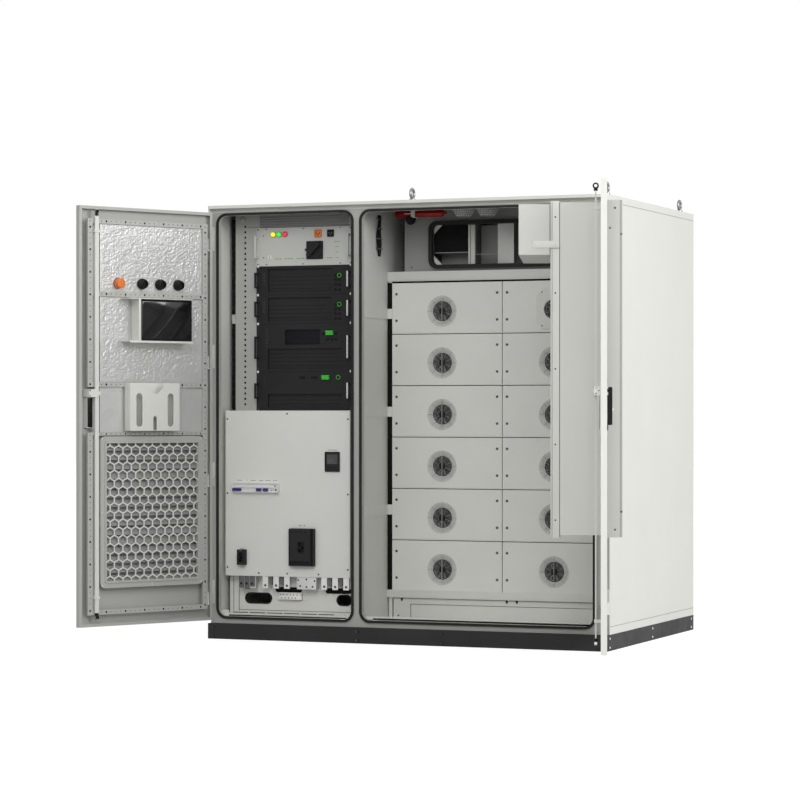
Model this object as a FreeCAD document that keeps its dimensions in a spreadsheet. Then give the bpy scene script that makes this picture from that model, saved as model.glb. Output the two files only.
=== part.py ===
"""Battery cabinet: a two-door outdoor cabinet, drawn as a parametric document.

The frame's origin is the middle of the footprint at floor level. X runs to the
right, Y to the back and Z up, all in millimetres. The doors stand open at rest.
"""
import FreeCAD, Part
import math
import os
import re

import Sketcher

ALONG_X = FreeCAD.Rotation(FreeCAD.Vector(0, 1, 0), 90)
ALONG_Y = FreeCAD.Rotation(FreeCAD.Vector(1, 0, 0), -90)
ALONG_Z = FreeCAD.Rotation()

KNOB_TILT = 45
HALF_FACET = 22.5
BLADE_FILL = 0.8
ROOT_TO_TIP = 0.6

# Driving sizes, written once each and held in the sheet below.
SIZES = {
    # Whole cabinet
    "width": 1926, "depth": 1356, "height": 1993,
    # How far a cutting tool runs past a face
    "past": 1,
    # Plinth of rolled channel
    "plinth_high": 71, "plinth_rail": 60, "plinth_web": 8, "anchor_hole": 14,
    "plinth_bolt_radius": 6, "plinth_bolt_head": 5, "plinth_bolt_inset": 30, "plinth_bolt_low": 16,
    "plinth_bolt_high": 55, "plinth_bolt_middle": 719, "plinth_bolt_middle_right": 770,
    # Base tray, floor and sills
    "base_high": 29, "base_floor": 8, "base_wall": 25, "sill_high": 18, "sill_deep": 25,
    "cable_opening_wide": 360, "cable_opening_deep": 150, "cable_opening_inset": 200,
    # Front frame with its two openings
    "frame_setback": 34, "sheet": 3, "return_deep": 22, "left_margin": 40, "left_opening": 665,
    "post_wide": 50, "right_margin": 74, "opening_bottom": 103, "opening_drop": 45,
    "opening_radius": 40, "gasket_wide": 10.5, "seal_gap": 0.3,
    # Shell
    "panel_thick": 25, "partition_thick": 35, "roof_skirt": 31, "roof_lip": 14,
    "slot_wide": 60, "slot_long": 160, "slot_drop": 63, "slot_front": 245,
    "eye_ring": 27, "eye_wire": 6.5, "eye_collar": 14, "eye_stem_high": 12,
    "eye_clear": 198, "eye_far": 36, "eye_front": 110, "eye_rear": 116,
    # Doors
    "door_thick": 25, "door_bottom": 86, "door_drop": 32, "door_side_gap": 4, "door_gap": 6,
    "left_door": 731, "hinge_inset": 6, "hinge_step": 4, "left_open": 117.8, "right_open": 107.8,
    "hinge_high": 109, "hinge_radius": 5, "hinge_leaf": 20, "hinge_pin": 2.5, "pin_gap": 0.05,
    "hinge_lowest": 160, "hinge_drop": 205, "hinge_rows": 4, "hinge_pocket": 2,
    "door_sheet": 2, "door_fold": 14,
    # Perforated frame inside the left door
    "rail_wide": 26, "rail_thick": 12, "rail_near": 35, "rail_far": 692, "rail_low": 140,
    "rail_drop": 88, "rail_cross": 22, "cross_first_drop": 335, "cross_second_drop": 404,
    "cross_third_drop": 221,
    "rail_hole": 4, "rail_pitch": 104, "rail_pitch_up": 100,
    "filter_far": 628, "wool_far": 622, "filter_low": 256, "filter_clear": 10,
    "filter_border": 30, "filter_thick": 22, "mesh_thick": 6, 
    # Fittings inside the left door
    "display_left": 165, "display_wide": 285, "display_drop": 207, "display_high": 187,
    "display_deep": 62, "display_bracket": 4, "display_flange": 60, "display_side": 12,
    "pocket_near": 225, "pocket_wide": 270, "pocket_rise": 14, "pocket_high": 215, "pocket_deep": 45,
    "pocket_wall": 2, "pocket_notch": 47, "button_radius": 25, "button_rise": 50,
    "button_first": 525, "button_second": 398, "button_third": 299, "button_fourth": 198,
    "button_body": 30, "button_head_radius": 20, "button_head": 18, "head_taper": 3, "button_travel": 6,
    "button_neck": 11, "button_seat": 3, "button_well": 14, "stop_stem": 7, "stop_joint": 2, "stop_slack": 1,
    "lens_radius": 14,
    "lens_taper": 2,
    "lens_out": 8, "wool_proud": 4, "rail_thin": 14, "slot_pitch": 42, "slot_wide_open": 16,
    "pocket_slot": 33, "pocket_slot_high": 150,
    # Three-point rod latch of each door
    "rod_wide": 20, "rod_thick": 6, "rod_inset": 79, "right_rod_inset": 60, "rod_lift": 20, "tip_radius": 7,
    "tip_long": 28,
    "rod_drop": 49, "rod_low": 121, "guide_wall": 3, "guide_high": 12,
    "guide_from_end": 90, "running_gap": 0.4,
    "lock_high": 34, "lock_wide": 62, "lock_drop": 39, "lock_shift": 14, "handle_shift": 26,
    "handle_wide": 28, "handle_long": 150, "handle_deep": 14, "handle_drop": 19, "cam_radius": 9,
    "foot_high": 8, "foot_past": 8,
    "spindle_radius": 6, "handle_gap": 1,
    "dish_high": 136, "dish_out": 3, "dish_in": 4, "cam_wheel": 15, "cam_thick": 5,
    "cam_gap": 6,
    # Air conditioner through the right door
    "cooler_room": 541, "cooler_low": 548, "cooler_drop": 108, "cooler_in": 165, "cooler_cover": 37,
    "cooler_out": 53, "cooler_flange": 10, "cooler_rim": 12, "cooler_near": 297, "cooler_fit": 1,
    "cover_past": 18,
    "nozzle_past": 10, "nozzle_high": 203, "nozzle_drop": 115, "nozzle_wall": 4,
    "grille_inset": 40, "grille_pitch": 30, "grille_slot": 10, "grille_deep": 7,
    # Nineteen inch rack in the left bay
    "rack_unit": 44.45, "rack_wide": 482.6, "rack_left": 165.5, "rack_drop": 940.4, "rack_front": 175,
    "rack_panel": 3, "rack_body_step": 21.3, "rack_body_deep": 330, "unit_gap": 0.8,
    "ear_rail": 30, "rail_sheet": 2.5, "rack_deep": 600, "post_face": 106, "square_hole": 9.5,
    "hole_pitch": 25, "post_left": 57, "grip_thick": 8, "grip_out": 38, "grip_inset": 9,
    "knob_out": 20, "knob_x": 295.5, "knob_drop": 204, "knob_plate": 84,
    "knob_seat": 4, "knob_flange": 5, "knob_gap": 0.5, "knob_rim": 2, "knob_bar": 16, "grip_tall": 96,
    "grip_short": 64, "recess_left": 223, "recess_wide": 374, "recess_short": 321, "recess_deep": 10,
    "recess_step": 12, "recess_high": 108, "recess_low_high": 62, "recess_middle_high": 94,
    "screen_left": 310, "screen_wide": 177, "screen_low": 124, "screen_high": 70, "screen_thick": 4,
    "lamp_first": 252, "lamp_pitch": 29.5, "lamp_radius": 10, "lamp_out": 8, "lamp_drop": 128,
    "socket_first": 479, "socket_second": 540, "socket_side": 34, "socket_out": 6,
    # Inverter below the rack
    "inverter_left": 42, "inverter_right": 668, "inverter_front": 100, "inverter_low": 287,
    "inverter_gap": 2.6, "inverter_deep": 560, "cover_thick": 2,
    "breaker_left": 374, "breaker_wide": 122, "breaker_low": 338, "breaker_high": 171,
    "breaker_out": 26, "lever_wide": 22, "lever_out": 22, 
    "slot_clear": 1.5, "tab_thick": 4, "tab_wide": 28, "tab_low": 231,
    "tab_hole": 5, "tab_front": 108, "block_deep": 24, "back_plate": 150,
    "small_left": 112, "small_wide": 38, "small_high": 70, "small_lever": 12, "lever_sweep": 22,
    "lever_well": 12, "lever_thick": 9, "lever_axle": 3, "axle_clear": 0.5,
    "strip_left": 92, "strip_wide": 229, "strip_rise": 11.5, "strip_high": 42, "strip_out": 22,
    "device_left": 552, "device_wide": 65, "device_rise": 109.5, "device_high": 82, "device_out": 18,
    "tab_first": 227, "tab_fourth": 523, "tab_pitch": 54.5, "block_left": 403, "block_wide": 95,
    "signal_left": 110, "signal_wide": 82, "earth_left": 300, "earth_wide": 113, "earth_low": 182,
    "earth_high": 30, "earth_out": 12, "cable_first": 123, "cable_second": 585, "cable_wide": 130,
    "cable_short": 70, "cable_low": 160, "cable_high": 44,
    # Battery rack and packs in the right bay
    "pack_clear": 17, "pack_far": 70, "pack_low": 222.8, "packs_drop": 347.6, "pack_gap": 8.1,
    "pack_front": 352, "pack_back": 476, "pack_rows": 6, "pack_side_gap": 2, "front_thick": 10,
    "upright": 16, "upright_deep": 40, "beam_low": 36, "beam_top": 46, "shelf_rail": 4,
    "fan_x": 248, "fan_z": 98, "dish_radius": 72, "fan_radius": 46, "rotor_radius": 42,
    "hub_radius": 15, "blade_count": 7, "blade_pitch": 34, "blade_thick": 1.6, "blade_root": 1,
    "rotor_deep": 16,
    "fan_well": 34, "axle_radius": 4, "axle_gap": 0.05, 
    "rotor_setback": 12, "dish_deep": 6,
    "shelf_foot": 28, "rear_strip": 6, "hatch_radius": 88, "hatch_out": 3, 
    "guard_thick": 2, "guard_rim": 4, "guard_bar": 3, "guard_sunk": 1,
    # Duct and fittings under the roof of the right bay
    "duct_front": 380, "duct_margin": 143, "duct_far": 294, "duct_high": 184, "duct_drop": 89,
    "duct_sheet": 4, "duct_gasket": 17, "duct_seal": 25, "duct_deep": 200, "duct_clear": 53,
    "bottle_radius": 17, "bottle_clear": 40, "bottle_long": 240, "bottle_y": 300, "bottle_drop": 40,
    "duct_corner": 24, "duct_past": 20, "baffle_shift": 177, "strap_inset": 30, "strap_wide": 20,
    "strap_thick": 20, "detector_radius": 50, "detector_mouth": 30, "detector_high": 46,
    "detector_shift": 177, "detector_pitch": 114,
    "wall_rail_high": 50, "wall_rail_out": 4, "wall_rail_drop": 521, "wall_rail_second": 1020,
    "wall_rail_third": 568, "wall_rail_front": 100, "wall_rail_long": 240,
}

# Places worked out from the driving sizes.
PLACES = {
    "opening_top": "height - opening_drop",
    "door_top": "height - door_drop",
    "hinge_highest": "height - hinge_drop",
    "slot_high": "height - slot_drop",
    "slot_low": "slot_high - slot_long",
    "rail_top": "height - rail_drop",
    "cross_first": "rail_top - cross_first_drop",
    "cross_second": "cross_first - cross_second_drop",
    "cross_third": "cross_second - cross_third_drop",
    "filter_top": "cross_third - filter_clear",
    "display_low": "cross_first - display_drop",
    "pocket_low": "cross_third + pocket_rise",
    "button_high": "cross_first + button_rise",
    "rod_top": "height - rod_drop",
    "lock_z": "cross_second - lock_drop",
    "handle_top": "lock_z - handle_drop",
    "cooler_top": "height - cooler_drop",
    "nozzle_top": "height - nozzle_drop",
    "nozzle_low": "nozzle_top - nozzle_high",
    "rack_low": "height - rack_drop",
    "knob_z": "height - knob_drop",
    "lamp_z": "height - lamp_drop",
    "inverter_top": "rack_low - inverter_gap",
    "strip_low": "(inverter_top + inverter_low) / 2 + strip_rise",
    "device_low": "(inverter_top + inverter_low) / 2 + device_rise",
    "pack_pitch": "(height - packs_drop - pack_low) / pack_rows",
    "pack_high": "pack_pitch - pack_gap",
    "bottle_z": "height - bottle_drop",
    "wall_rail_first": "height - wall_rail_drop",
    "wall_rail_second": "(wall_rail_first + wall_rail_third) / 2",
    "duct_top": "height - duct_drop",
    "duct_low": "duct_top - duct_high",
    "right_opening": "width - left_margin - left_opening - post_wide - right_margin",
    "pack_left": "left_margin + left_opening + post_wide + pack_clear",
    "pack_wide": "(width - pack_left - pack_far) / 2",
    "eye_left": "pack_left + eye_clear",
    "eye_right": "width - eye_far",
    "duct_edge": "pack_left + duct_clear",
    "duct_left": "duct_edge + duct_margin",
    "duct_wide": "width - duct_left - duct_far",
    "baffle_left": "duct_left + baffle_shift",
    "bottle_left": "pack_left + bottle_clear",
    "detector_first": "duct_left + detector_shift",
    "detector_second": "detector_first + detector_pitch",
    "cooler_wide": "right_door - cooler_room",
    "cooler_centre": "cooler_near + cooler_wide / 2",
    "nozzle_wide": "cooler_wide + nozzle_past",
    "pack_deep": "depth - pack_back",
    "eye_back": "depth - eye_rear",
    "left_x": "-width / 2",
    "right_x": "width / 2",
    "front_y": "-depth / 2",
    "back_y": "depth / 2",
    "frame_y": "front_y + frame_setback",
    "inside_y": "frame_y + sheet",
    "base_top": "plinth_high + base_high",
    "floor_top": "plinth_high + base_floor",
    "shell_top": "height - roof_skirt",
    "ceiling": "height - sheet",
    "left_edge": "left_x + left_margin",
    "post_x": "left_edge + left_opening",
    "right_edge": "post_x + post_wide",
    "far_edge": "right_edge + right_opening",
    "partition_x": "post_x + (post_wide - partition_thick) / 2",
    "opening_high": "opening_top - opening_bottom",
    "door_high": "door_top - door_bottom",
    "right_door": "width - 2 * door_side_gap - door_gap - left_door",
    "hinge_y": "front_y + hinge_step",
    "filter_near": "rail_near + rail_wide",
    "nozzle_deep": "duct_front - duct_seal - seal_gap - door_thick - cooler_in - cooler_cover",
    "left_hinge_x": "left_x + hinge_inset",
    "right_hinge_x": "right_x - hinge_inset",
    "door_near": "hinge_inset - door_side_gap",
    "door_face": "door_thick - hinge_step",
    "skin_y": "door_sheet - hinge_step",
    "left_door_end": "left_door - door_near",
    "right_door_end": "right_door - door_near",
    "left_rod": "left_door_end - rod_inset",
    "right_rod": "right_door_end - right_rod_inset",
    "rod_y": "door_face + rod_lift",
    "rack_body_wide": "rack_wide - 2 * rack_body_step",
    "rack_x": "left_x + rack_left",
    "rack_y": "front_y + rack_front",
    "rail_y": "rack_y + rack_panel",
    "pack_x": "left_x + pack_left",
    "pack_y": "front_y + pack_front",
    "pack_body_y": "pack_y + front_thick",
    "packs_top": "pack_low + pack_rows * pack_pitch",
    "inverter_x": "left_x + inverter_left",
    "inverter_y": "front_y + inverter_front",
    "inverter_wide": "inverter_right - inverter_left",
    "cover_y": "door_face + cooler_in",
    "nozzle_y": "cover_y + cooler_cover",
}

doc = FreeCAD.newDocument("battery_cabinet")
sheet = doc.addObject("Spreadsheet::Sheet", "Sizes")
for row, (word, number) in enumerate(SIZES.items(), start=1):
    sheet.set(f"A{row}", word)
    sheet.set(f"B{row}", str(number))
    sheet.setAlias(f"B{row}", word)
doc.recompute()

parts = {}


def tie(text):
    """Write an expression with the sheet's name before each size and each place worked out."""
    def swap(found):
        word = found.group(0)
        if word in PLACES:
            return "(" + tie(PLACES[word]) + ")"
        return "Sizes." + word if word in SIZES else word
    return re.sub(r"[a-z][a-z_]*", swap, str(text))


def size(text):
    """Read an expression of sizes as a number."""
    return float(sheet.evalExpression(tie(text)))


def place(item, base, turn=ALONG_Z):
    """Set where an object stands, with its three coordinates tied to the sheet."""
    item.Placement = FreeCAD.Placement(FreeCAD.Vector(0, 0, 0), turn)
    for axis, text in zip("xyz", base):
        item.setExpression(".Placement.Base." + axis, tie(text))
    return item


def block(name, corner, sides):
    """A box from its lower left front corner and its three sides."""
    item = doc.addObject("Part::Box", name)
    for side, text in zip(("Length", "Width", "Height"), sides):
        item.setExpression(side, tie(text))
    return place(item, corner)


def bar(name, start, radius, length, turn=ALONG_Z):
    """A round bar from the middle of one end."""
    item = doc.addObject("Part::Cylinder", name)
    item.setExpression("Radius", tie(radius))
    item.setExpression("Height", tie(length))
    return place(item, start, turn)


def cone(name, start, first, second, length, turn=ALONG_Z):
    """A truncated cone from the middle of its first end."""
    item = doc.addObject("Part::Cone", name)
    item.setExpression("Radius1", tie(first))
    item.setExpression("Radius2", tie(second))
    item.setExpression("Height", tie(length))
    return place(item, start, turn)


def ring(name, middle, radius, wire, turn=ALONG_Z):
    """A torus about its middle."""
    item = doc.addObject("Part::Torus", name)
    item.setExpression("Radius1", tie(radius))
    item.setExpression("Radius2", tie(wire))
    return place(item, middle, turn)


def fuse(name, items):
    """One solid of several that touch."""
    if len(items) == 1:
        return items[0]
    item = doc.addObject("Part::MultiFuse", name)
    item.Shapes = items
    item.Refine = True
    return item


def cut(name, base, tools):
    """A piece less its holes and pockets."""
    item = doc.addObject("Part::Cut", name)
    item.Base = base
    item.Tool = fuse(name + "_tools", tools)
    item.Refine = True
    return item


def group(name, items):
    """Several separate solids kept in one sub-part."""
    item = doc.addObject("Part::Compound", name)
    item.Links = items
    return item


def keep(label, item, base=None, angle=None):
    """Name a finished sub-part, and stand it at its hinge where it hangs on one."""
    if base:
        if item.TypeId == "Part::Box":
            item = group(label + "_hung", [item])
        item.Placement = FreeCAD.Placement(FreeCAD.Vector(0, 0, 0), FreeCAD.Rotation(FreeCAD.Vector(0, 0, 1),
                                                                                     1))
        for axis, text in zip("xyz", base):
            item.setExpression(".Placement.Base." + axis, tie(text))
        item.setExpression(".Placement.Rotation.Angle", tie(angle))
    item.Label = label
    parts[label] = item
    return item


def solid(name, shape):
    """A sub-part whose shape is worked out by the part's own functions."""
    item = doc.addObject("Part::Feature", name)
    item.Shape = shape
    return item


def draw_rectangle(drawing, name, corner, sides, radius=None):
    """Add a rectangle with square or round corners, tied to the sheet by its constraints."""
    x, y = (size(text) for text in corner)
    wide, high = (size(text) for text in sides)
    bend = size(radius) if radius else 0
    first = drawing.GeometryCount
    edges = [((x + bend, y), (x + wide - bend, y)), ((x + wide, y + bend), (x + wide, y + high - bend)),
             ((x + wide - bend, y + high), (x + bend, y + high)), ((x, y + high - bend), (x, y + bend))]
    for begin, end in edges:
        drawing.addGeometry(Part.LineSegment(FreeCAD.Vector(*begin, 0), FreeCAD.Vector(*end, 0)))
    ties = [Sketcher.Constraint("Horizontal", first), Sketcher.Constraint("Vertical", first + 1),
            Sketcher.Constraint("Horizontal", first + 2), Sketcher.Constraint("Vertical", first + 3)]
    if bend:
        middles = [(x + wide - bend, y + bend), (x + wide - bend, y + high - bend),
                   (x + bend, y + high - bend), (x + bend, y + bend)]
        for corner_number, middle in enumerate(middles):
            start = math.radians(corner_number * 90 - 90)
            circle = Part.Circle(FreeCAD.Vector(*middle, 0), FreeCAD.Vector(0, 0, 1), bend)
            drawing.addGeometry(Part.ArcOfCircle(circle, start, start + math.pi / 2))
        for side in range(4):
            arc = first + 4 + side
            ties.append(Sketcher.Constraint("Tangent", first + side, 2, arc, 1))
            ties.append(Sketcher.Constraint("Tangent", arc, 2, first + (side + 1) % 4, 1))
            if side:
                ties.append(Sketcher.Constraint("Equal", first + 4, arc))
    else:
        for side in range(4):
            ties.append(Sketcher.Constraint("Coincident", first + side, 2, first + (side + 1) % 4, 1))
    drawing.addConstraint(ties)
    measured = [("left", "DistanceX", -1, 1, first + 3, 1, corner[0]), ("low", "DistanceY", -1, 1, first, 1,
                                                                        corner[1]),
                ("wide", "DistanceX", first + 3, 1, first + 1, 1, sides[0]),
                ("high", "DistanceY", first, 1, first + 2, 1, sides[1])]
    for word, kind, one, one_end, two, two_end, text in measured:
        number = drawing.addConstraint(Sketcher.Constraint(kind, one, one_end, two, two_end, size(text)))
        drawing.renameConstraint(number, f"{name}_{word}")
        drawing.setExpression(f"Constraints.{name}_{word}", tie(text))
    if bend:
        number = drawing.addConstraint(Sketcher.Constraint("Radius", first + 4, bend))
        drawing.renameConstraint(number, f"{name}_radius")
        drawing.setExpression(f"Constraints.{name}_radius", tie(radius))


def upright_sketch(body, name):
    """A drawing that stands in the body's front plane."""
    drawing = body.newObject("Sketcher::SketchObject", name)
    planes = {feature.Role: feature for feature in body.Origin.OriginFeatures}
    drawing.AttachmentSupport = [(planes["XZ_Plane"], "")]
    drawing.MapMode = "FlatFace"
    return drawing


def sheet_body(name, outline, thick, holes=(), radius=None, pocket_deep=None):
    """A standing sheet drawn from its lower left corner, padded to the back and pocketed."""
    body = doc.addObject("PartDesign::Body", name)
    drawing = upright_sketch(body, name + "_outline")
    draw_rectangle(drawing, "outline", ("0", "0"), outline, radius)
    pad = body.newObject("PartDesign::Pad", name + "_pad")
    pad.Profile = drawing
    pad.Reversed = True
    pad.setExpression("Length", tie(thick))
    doc.recompute()
    if holes:
        openings = upright_sketch(body, name + "_openings")
        for number, (corner, sides, bend) in enumerate(holes):
            draw_rectangle(openings, f"hole_{number}", corner, sides, bend)
        pocket = body.newObject("PartDesign::Pocket", name + "_pocket")
        pocket.Profile = openings
        if pocket_deep:
            pocket.setExpression("Length", tie(pocket_deep))
        else:
            pocket.Type = 1
        doc.recompute()
        if pocket.Shape.Volume >= pad.Shape.Volume:
            raise RuntimeError(name + ": the pocket cuts nothing")
    return body


def make_plinth():
    """Channel rails under the cabinet, with four anchor holes and pairs of cover screws in front."""
    outer = block("plinth_outer", ("left_x", "front_y", "0"), ("width", "depth", "plinth_high"))
    inner = block("plinth_inner", ("left_x + plinth_rail", "front_y + plinth_rail", "-past"),
                  ("width - 2 * plinth_rail", "depth - 2 * plinth_rail", "plinth_high + 2 * past"))
    channel = block("plinth_channel", ("left_x + plinth_web", "front_y + plinth_web", "plinth_web"),
                    ("width - 2 * plinth_web", "depth - 2 * plinth_web", "plinth_high - 2 * plinth_web"))
    holes = []
    for x in ("left_x + plinth_rail / 2", "right_x - plinth_rail / 2"):
        for y in ("front_y + plinth_rail / 2", "back_y - plinth_rail / 2"):
            holes.append(bar(f"anchor_{len(holes)}", (x, y, "-past"), "anchor_hole / 2",
                             "plinth_high + 2 * past"))
    heads = []
    for x in ("left_x + plinth_bolt_inset", "left_x + plinth_bolt_middle + plinth_bolt_inset",
              "right_x - plinth_bolt_middle_right", "right_x - plinth_bolt_inset"):
        for z in ("plinth_bolt_low", "plinth_bolt_high"):
            heads.append(bar(f"plinth_bolt_{len(heads)}", (x, "front_y - plinth_bolt_head", z),
                             "plinth_bolt_radius", "plinth_bolt_head", ALONG_Y))
    keep("plinth", fuse("plinth_with_screws", [cut("plinth_frame", outer, [inner, channel] + holes)] + heads))


def make_base():
    """Floor tray with cable openings, and the raised sills behind the doors."""
    tray = block("tray", ("left_x", "inside_y", "plinth_high"),
                 ("width", "back_y - inside_y", "base_high"))
    hollow = block("tray_hollow", ("left_x + base_wall", "inside_y + base_wall + sill_deep", "floor_top"),
                   ("width - 2 * base_wall", "back_y - inside_y - 2 * base_wall - sill_deep", "base_high"))
    cables = block("cable_opening", ("left_x + cable_opening_inset",
                                     "back_y - cable_opening_inset - cable_opening_deep",
                                     "plinth_high - past"),
                   ("cable_opening_wide", "cable_opening_deep", "base_floor + 2 * past"))
    sills = [block("left_sill", ("left_x + base_wall", "inside_y + base_wall", "base_top"),
                   ("partition_x - left_x - base_wall", "sill_deep", "sill_high")),
             block("right_sill", ("partition_x + partition_thick", "inside_y + base_wall", "base_top"),
                   ("right_x - base_wall - partition_x - partition_thick", "sill_deep", "sill_high"))]
    keep("base_frame", fuse("base_with_sills", [cut("base_tray", tray, [hollow, cables])] + sills))


def make_front_frame():
    """Front sheet with two rounded openings, each with a folded return."""
    holes = [(("left_margin", "opening_bottom - plinth_high"), ("left_opening", "opening_high"),
              "opening_radius"),
             (("left_margin + left_opening + post_wide", "opening_bottom - plinth_high"),
              ("right_opening", "opening_high"), "opening_radius")]
    face = sheet_body("front_sheet", ("width", "shell_top - plinth_high"), "sheet", holes)
    place(face, ("left_x", "frame_y", "plinth_high"))
    pieces = [face]
    for side, edge, wide in (("left", "left_edge", "left_opening"), ("right", "right_edge", "right_opening")):
        collar = sheet_body(side + "_return", (wide + " + 2 * sheet", "opening_high + 2 * sheet"),
                            "return_deep",
                            [(("sheet", "sheet"), (wide, "opening_high"), "opening_radius")],
                            "opening_radius + sheet")
        place(collar, (edge + " - sheet", "inside_y", "opening_bottom - sheet"))
        pieces.append(collar)
    welded = fuse("frame_with_returns", pieces)
    slots = []
    for name, x in (("left", "left_hinge_x + left_rod"), ("right", "right_hinge_x - right_rod")):
        for end, z in (("top", "opening_top - past"), ("low", "opening_bottom - sheet - past")):
            slots.append(block(f"{name}_{end}_rod_slot", (x + " - rod_wide", "inside_y", z),
                               ("2 * rod_wide", "return_deep + past", "sheet + 2 * past")))
    keep("front_frame", cut("front_frame_cut", welded, slots))


def make_gaskets():
    """Rubber seals round both door openings and round the duct opening."""
    seals = []
    for side, edge, wide in (("left", "left_edge", "left_opening"), ("right", "right_edge", "right_opening")):
        seal = sheet_body(side + "_seal", (wide + " + 2 * gasket_wide", "opening_high + 2 * gasket_wide"),
                          "frame_setback - door_thick - seal_gap",
                          [(("gasket_wide", "gasket_wide"), (wide, "opening_high"), "opening_radius")],
                          "opening_radius + gasket_wide")
        seals.append(place(seal, (edge + " - gasket_wide", "front_y + door_thick + seal_gap",
                                  "opening_bottom - gasket_wide")))
    seal = sheet_body("duct_seal_body", ("duct_wide + 2 * duct_gasket",
                                         "duct_top - duct_low + 2 * duct_gasket"),
                      "duct_seal", [(("duct_gasket", "duct_gasket"), ("duct_wide", "duct_top - duct_low"),
                                     "duct_corner")],
                      "duct_corner + duct_gasket")
    seals.append(place(seal, ("left_x + duct_left - duct_gasket", "front_y + duct_front - duct_seal",
                              "duct_low - duct_gasket")))
    keep("gaskets", group("seal_group", seals))


def make_shell():
    """Sides, back, partition and the folded roof with its drip lip over the doors."""
    high = "shell_top - base_top"
    long = "back_y - panel_thick - inside_y"
    sides = [block(f"side_{number}", (x, "inside_y", "base_top"), ("panel_thick", long, high))
             for number, x in enumerate(("left_x", "right_x - panel_thick"))]
    keep("side_panels", group("side_group", sides))
    keep("rear_panel", block("rear", ("left_x", "back_y - panel_thick", "base_top"), ("width", "panel_thick",
                                                                                      high)))
    wall = block("partition_wall", ("partition_x", "inside_y", "floor_top"),
                 ("partition_thick", long, "ceiling - floor_top"))
    step = block("partition_step", ("partition_x - past", "inside_y - past", "floor_top - past"),
                 ("partition_thick + 2 * past", "base_wall + sill_deep + past",
                  "base_high - base_floor + past"))
    slot = block("partition_slot", ("partition_x - past", "front_y + slot_front - slot_wide / 2",
                                    "slot_low + slot_wide / 2"),
                 ("partition_thick + 2 * past", "slot_wide", "slot_high - slot_low - slot_wide"))
    ends = [bar(f"slot_end_{number}", ("partition_x - past", "front_y + slot_front", z), "slot_wide / 2",
                "partition_thick + 2 * past", ALONG_X)
            for number, z in enumerate(("slot_low + slot_wide / 2", "slot_high - slot_wide / 2"))]
    rails = [block(f"wall_rail_{number}", ("partition_x + partition_thick", "front_y + wall_rail_front", z),
                   ("wall_rail_out", "wall_rail_long", "wall_rail_high"))
             for number, z in enumerate(("wall_rail_first", "wall_rail_second", "wall_rail_third"))]
    keep("partition", fuse("partition_with_rails", [cut("partition_cut", wall, [step, slot] + ends)] + rails))
    slab = block("roof_slab", ("left_x", "front_y", "shell_top"), ("width", "depth", "roof_skirt"))
    under = block("roof_under", ("left_x + sheet", "inside_y", "shell_top - past"),
                  ("width - 2 * sheet", "back_y - sheet - inside_y", "roof_skirt - sheet + past"))
    porch = block("roof_porch", ("left_x + sheet", "front_y + sheet", "shell_top - past"),
                  ("width - 2 * sheet", "frame_setback - sheet", "roof_skirt - sheet + past"))
    notch = block("roof_notch", ("left_x - past", "front_y - past", "shell_top - past"),
                  ("width + 2 * past", "sheet + past", "roof_skirt - roof_lip + past"))
    keep("roof", cut("roof_cut", slab, [under, porch, notch]))


def make_lifting_eyes():
    """Four ring bolts screwed into the roof, two near the front and two near the back."""
    eyes = []
    for x in ("left_x + eye_left", "left_x + eye_right"):
        for y in ("front_y + eye_front", "front_y + eye_back"):
            number = len(eyes)
            collar = bar(f"eye_collar_{number}", (x, y, "height"), "eye_collar", "eye_stem_high")
            loop = ring(f"eye_loop_{number}", (x, y, "height + eye_stem_high + eye_ring - eye_wire / 2"),
                        "eye_ring - eye_wire", "eye_wire", ALONG_X)
            eyes.append(fuse(f"eye_{number}", [collar, loop]))
    keep("lifting_eyes", group("eye_group", eyes))


def make_rack_frame():
    """Sheet posts with a column of square holes, and the angle rails that the units screw to."""
    face = block("post_sheet", ("left_x + post_left", "rail_y", "inverter_top"),
                 ("rack_left - post_left - ear_rail / 2", "rail_sheet", "ceiling - inverter_top"))
    first = "inverter_top + hole_pitch"
    holes = []
    for number in range(int(size("(opening_top - inverter_top) / hole_pitch")) - 1):
        holes.append(block(f"square_hole_{number}",
                           ("left_x + post_face - square_hole / 2", "rail_y - past",
                            f"{first} + {number} * hole_pitch"),
                           ("square_hole", "rail_sheet + 2 * past", "square_hole")))
    rails = [cut("rack_post_cut", face, holes)]
    high = "ceiling - inverter_top"
    far_x = "rack_x + rack_wide - ear_rail / 2"
    for side, x, web in (("left", "rack_x - ear_rail / 2", "rack_x - ear_rail / 2"),
                         ("right", far_x, far_x + " + ear_rail - rail_sheet")):
        for row, y, web_y in (("front", "rail_y", "rail_y"),
                              ("rear", "rail_y + rack_deep - rail_sheet", "rail_y + rack_deep - ear_rail")):
            name = f"{side}_{row}_rail"
            leg = block(name + "_leg", (x, y, "inverter_top"), ("ear_rail", "rail_sheet", high))
            side_web = block(name + "_web", (web, web_y, "inverter_top"), ("rail_sheet", "ear_rail", high))
            rails.append(fuse(name, [leg, side_web]))
    keep("rack_rails", group("rail_group", rails))


def grips(name, low, high, tall):
    """Two bent bar handles, one on each ear of a rack unit."""
    bars = []
    for side, x in (("left", "rack_x + grip_inset"), ("right", "rack_x + rack_wide - grip_inset")):
        foot = f"{low} + ({high} - {tall} - grip_thick) / 2"
        head = f"{foot} + {tall}"
        arms = [block(f"{name}_{side}_{number}", (f"{x} - grip_thick / 2", "rack_y - grip_out", z),
                      ("grip_thick", "grip_out", "grip_thick")) for number, z in enumerate((foot, head))]
        hold = block(f"{name}_{side}_hold", (f"{x} - grip_thick / 2", "rack_y - grip_out", foot),
                     ("grip_thick", "grip_thick", tall + " + grip_thick"))
        bars.append(fuse(f"{name}_{side}_grip", arms + [hold]))
    return bars


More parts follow.
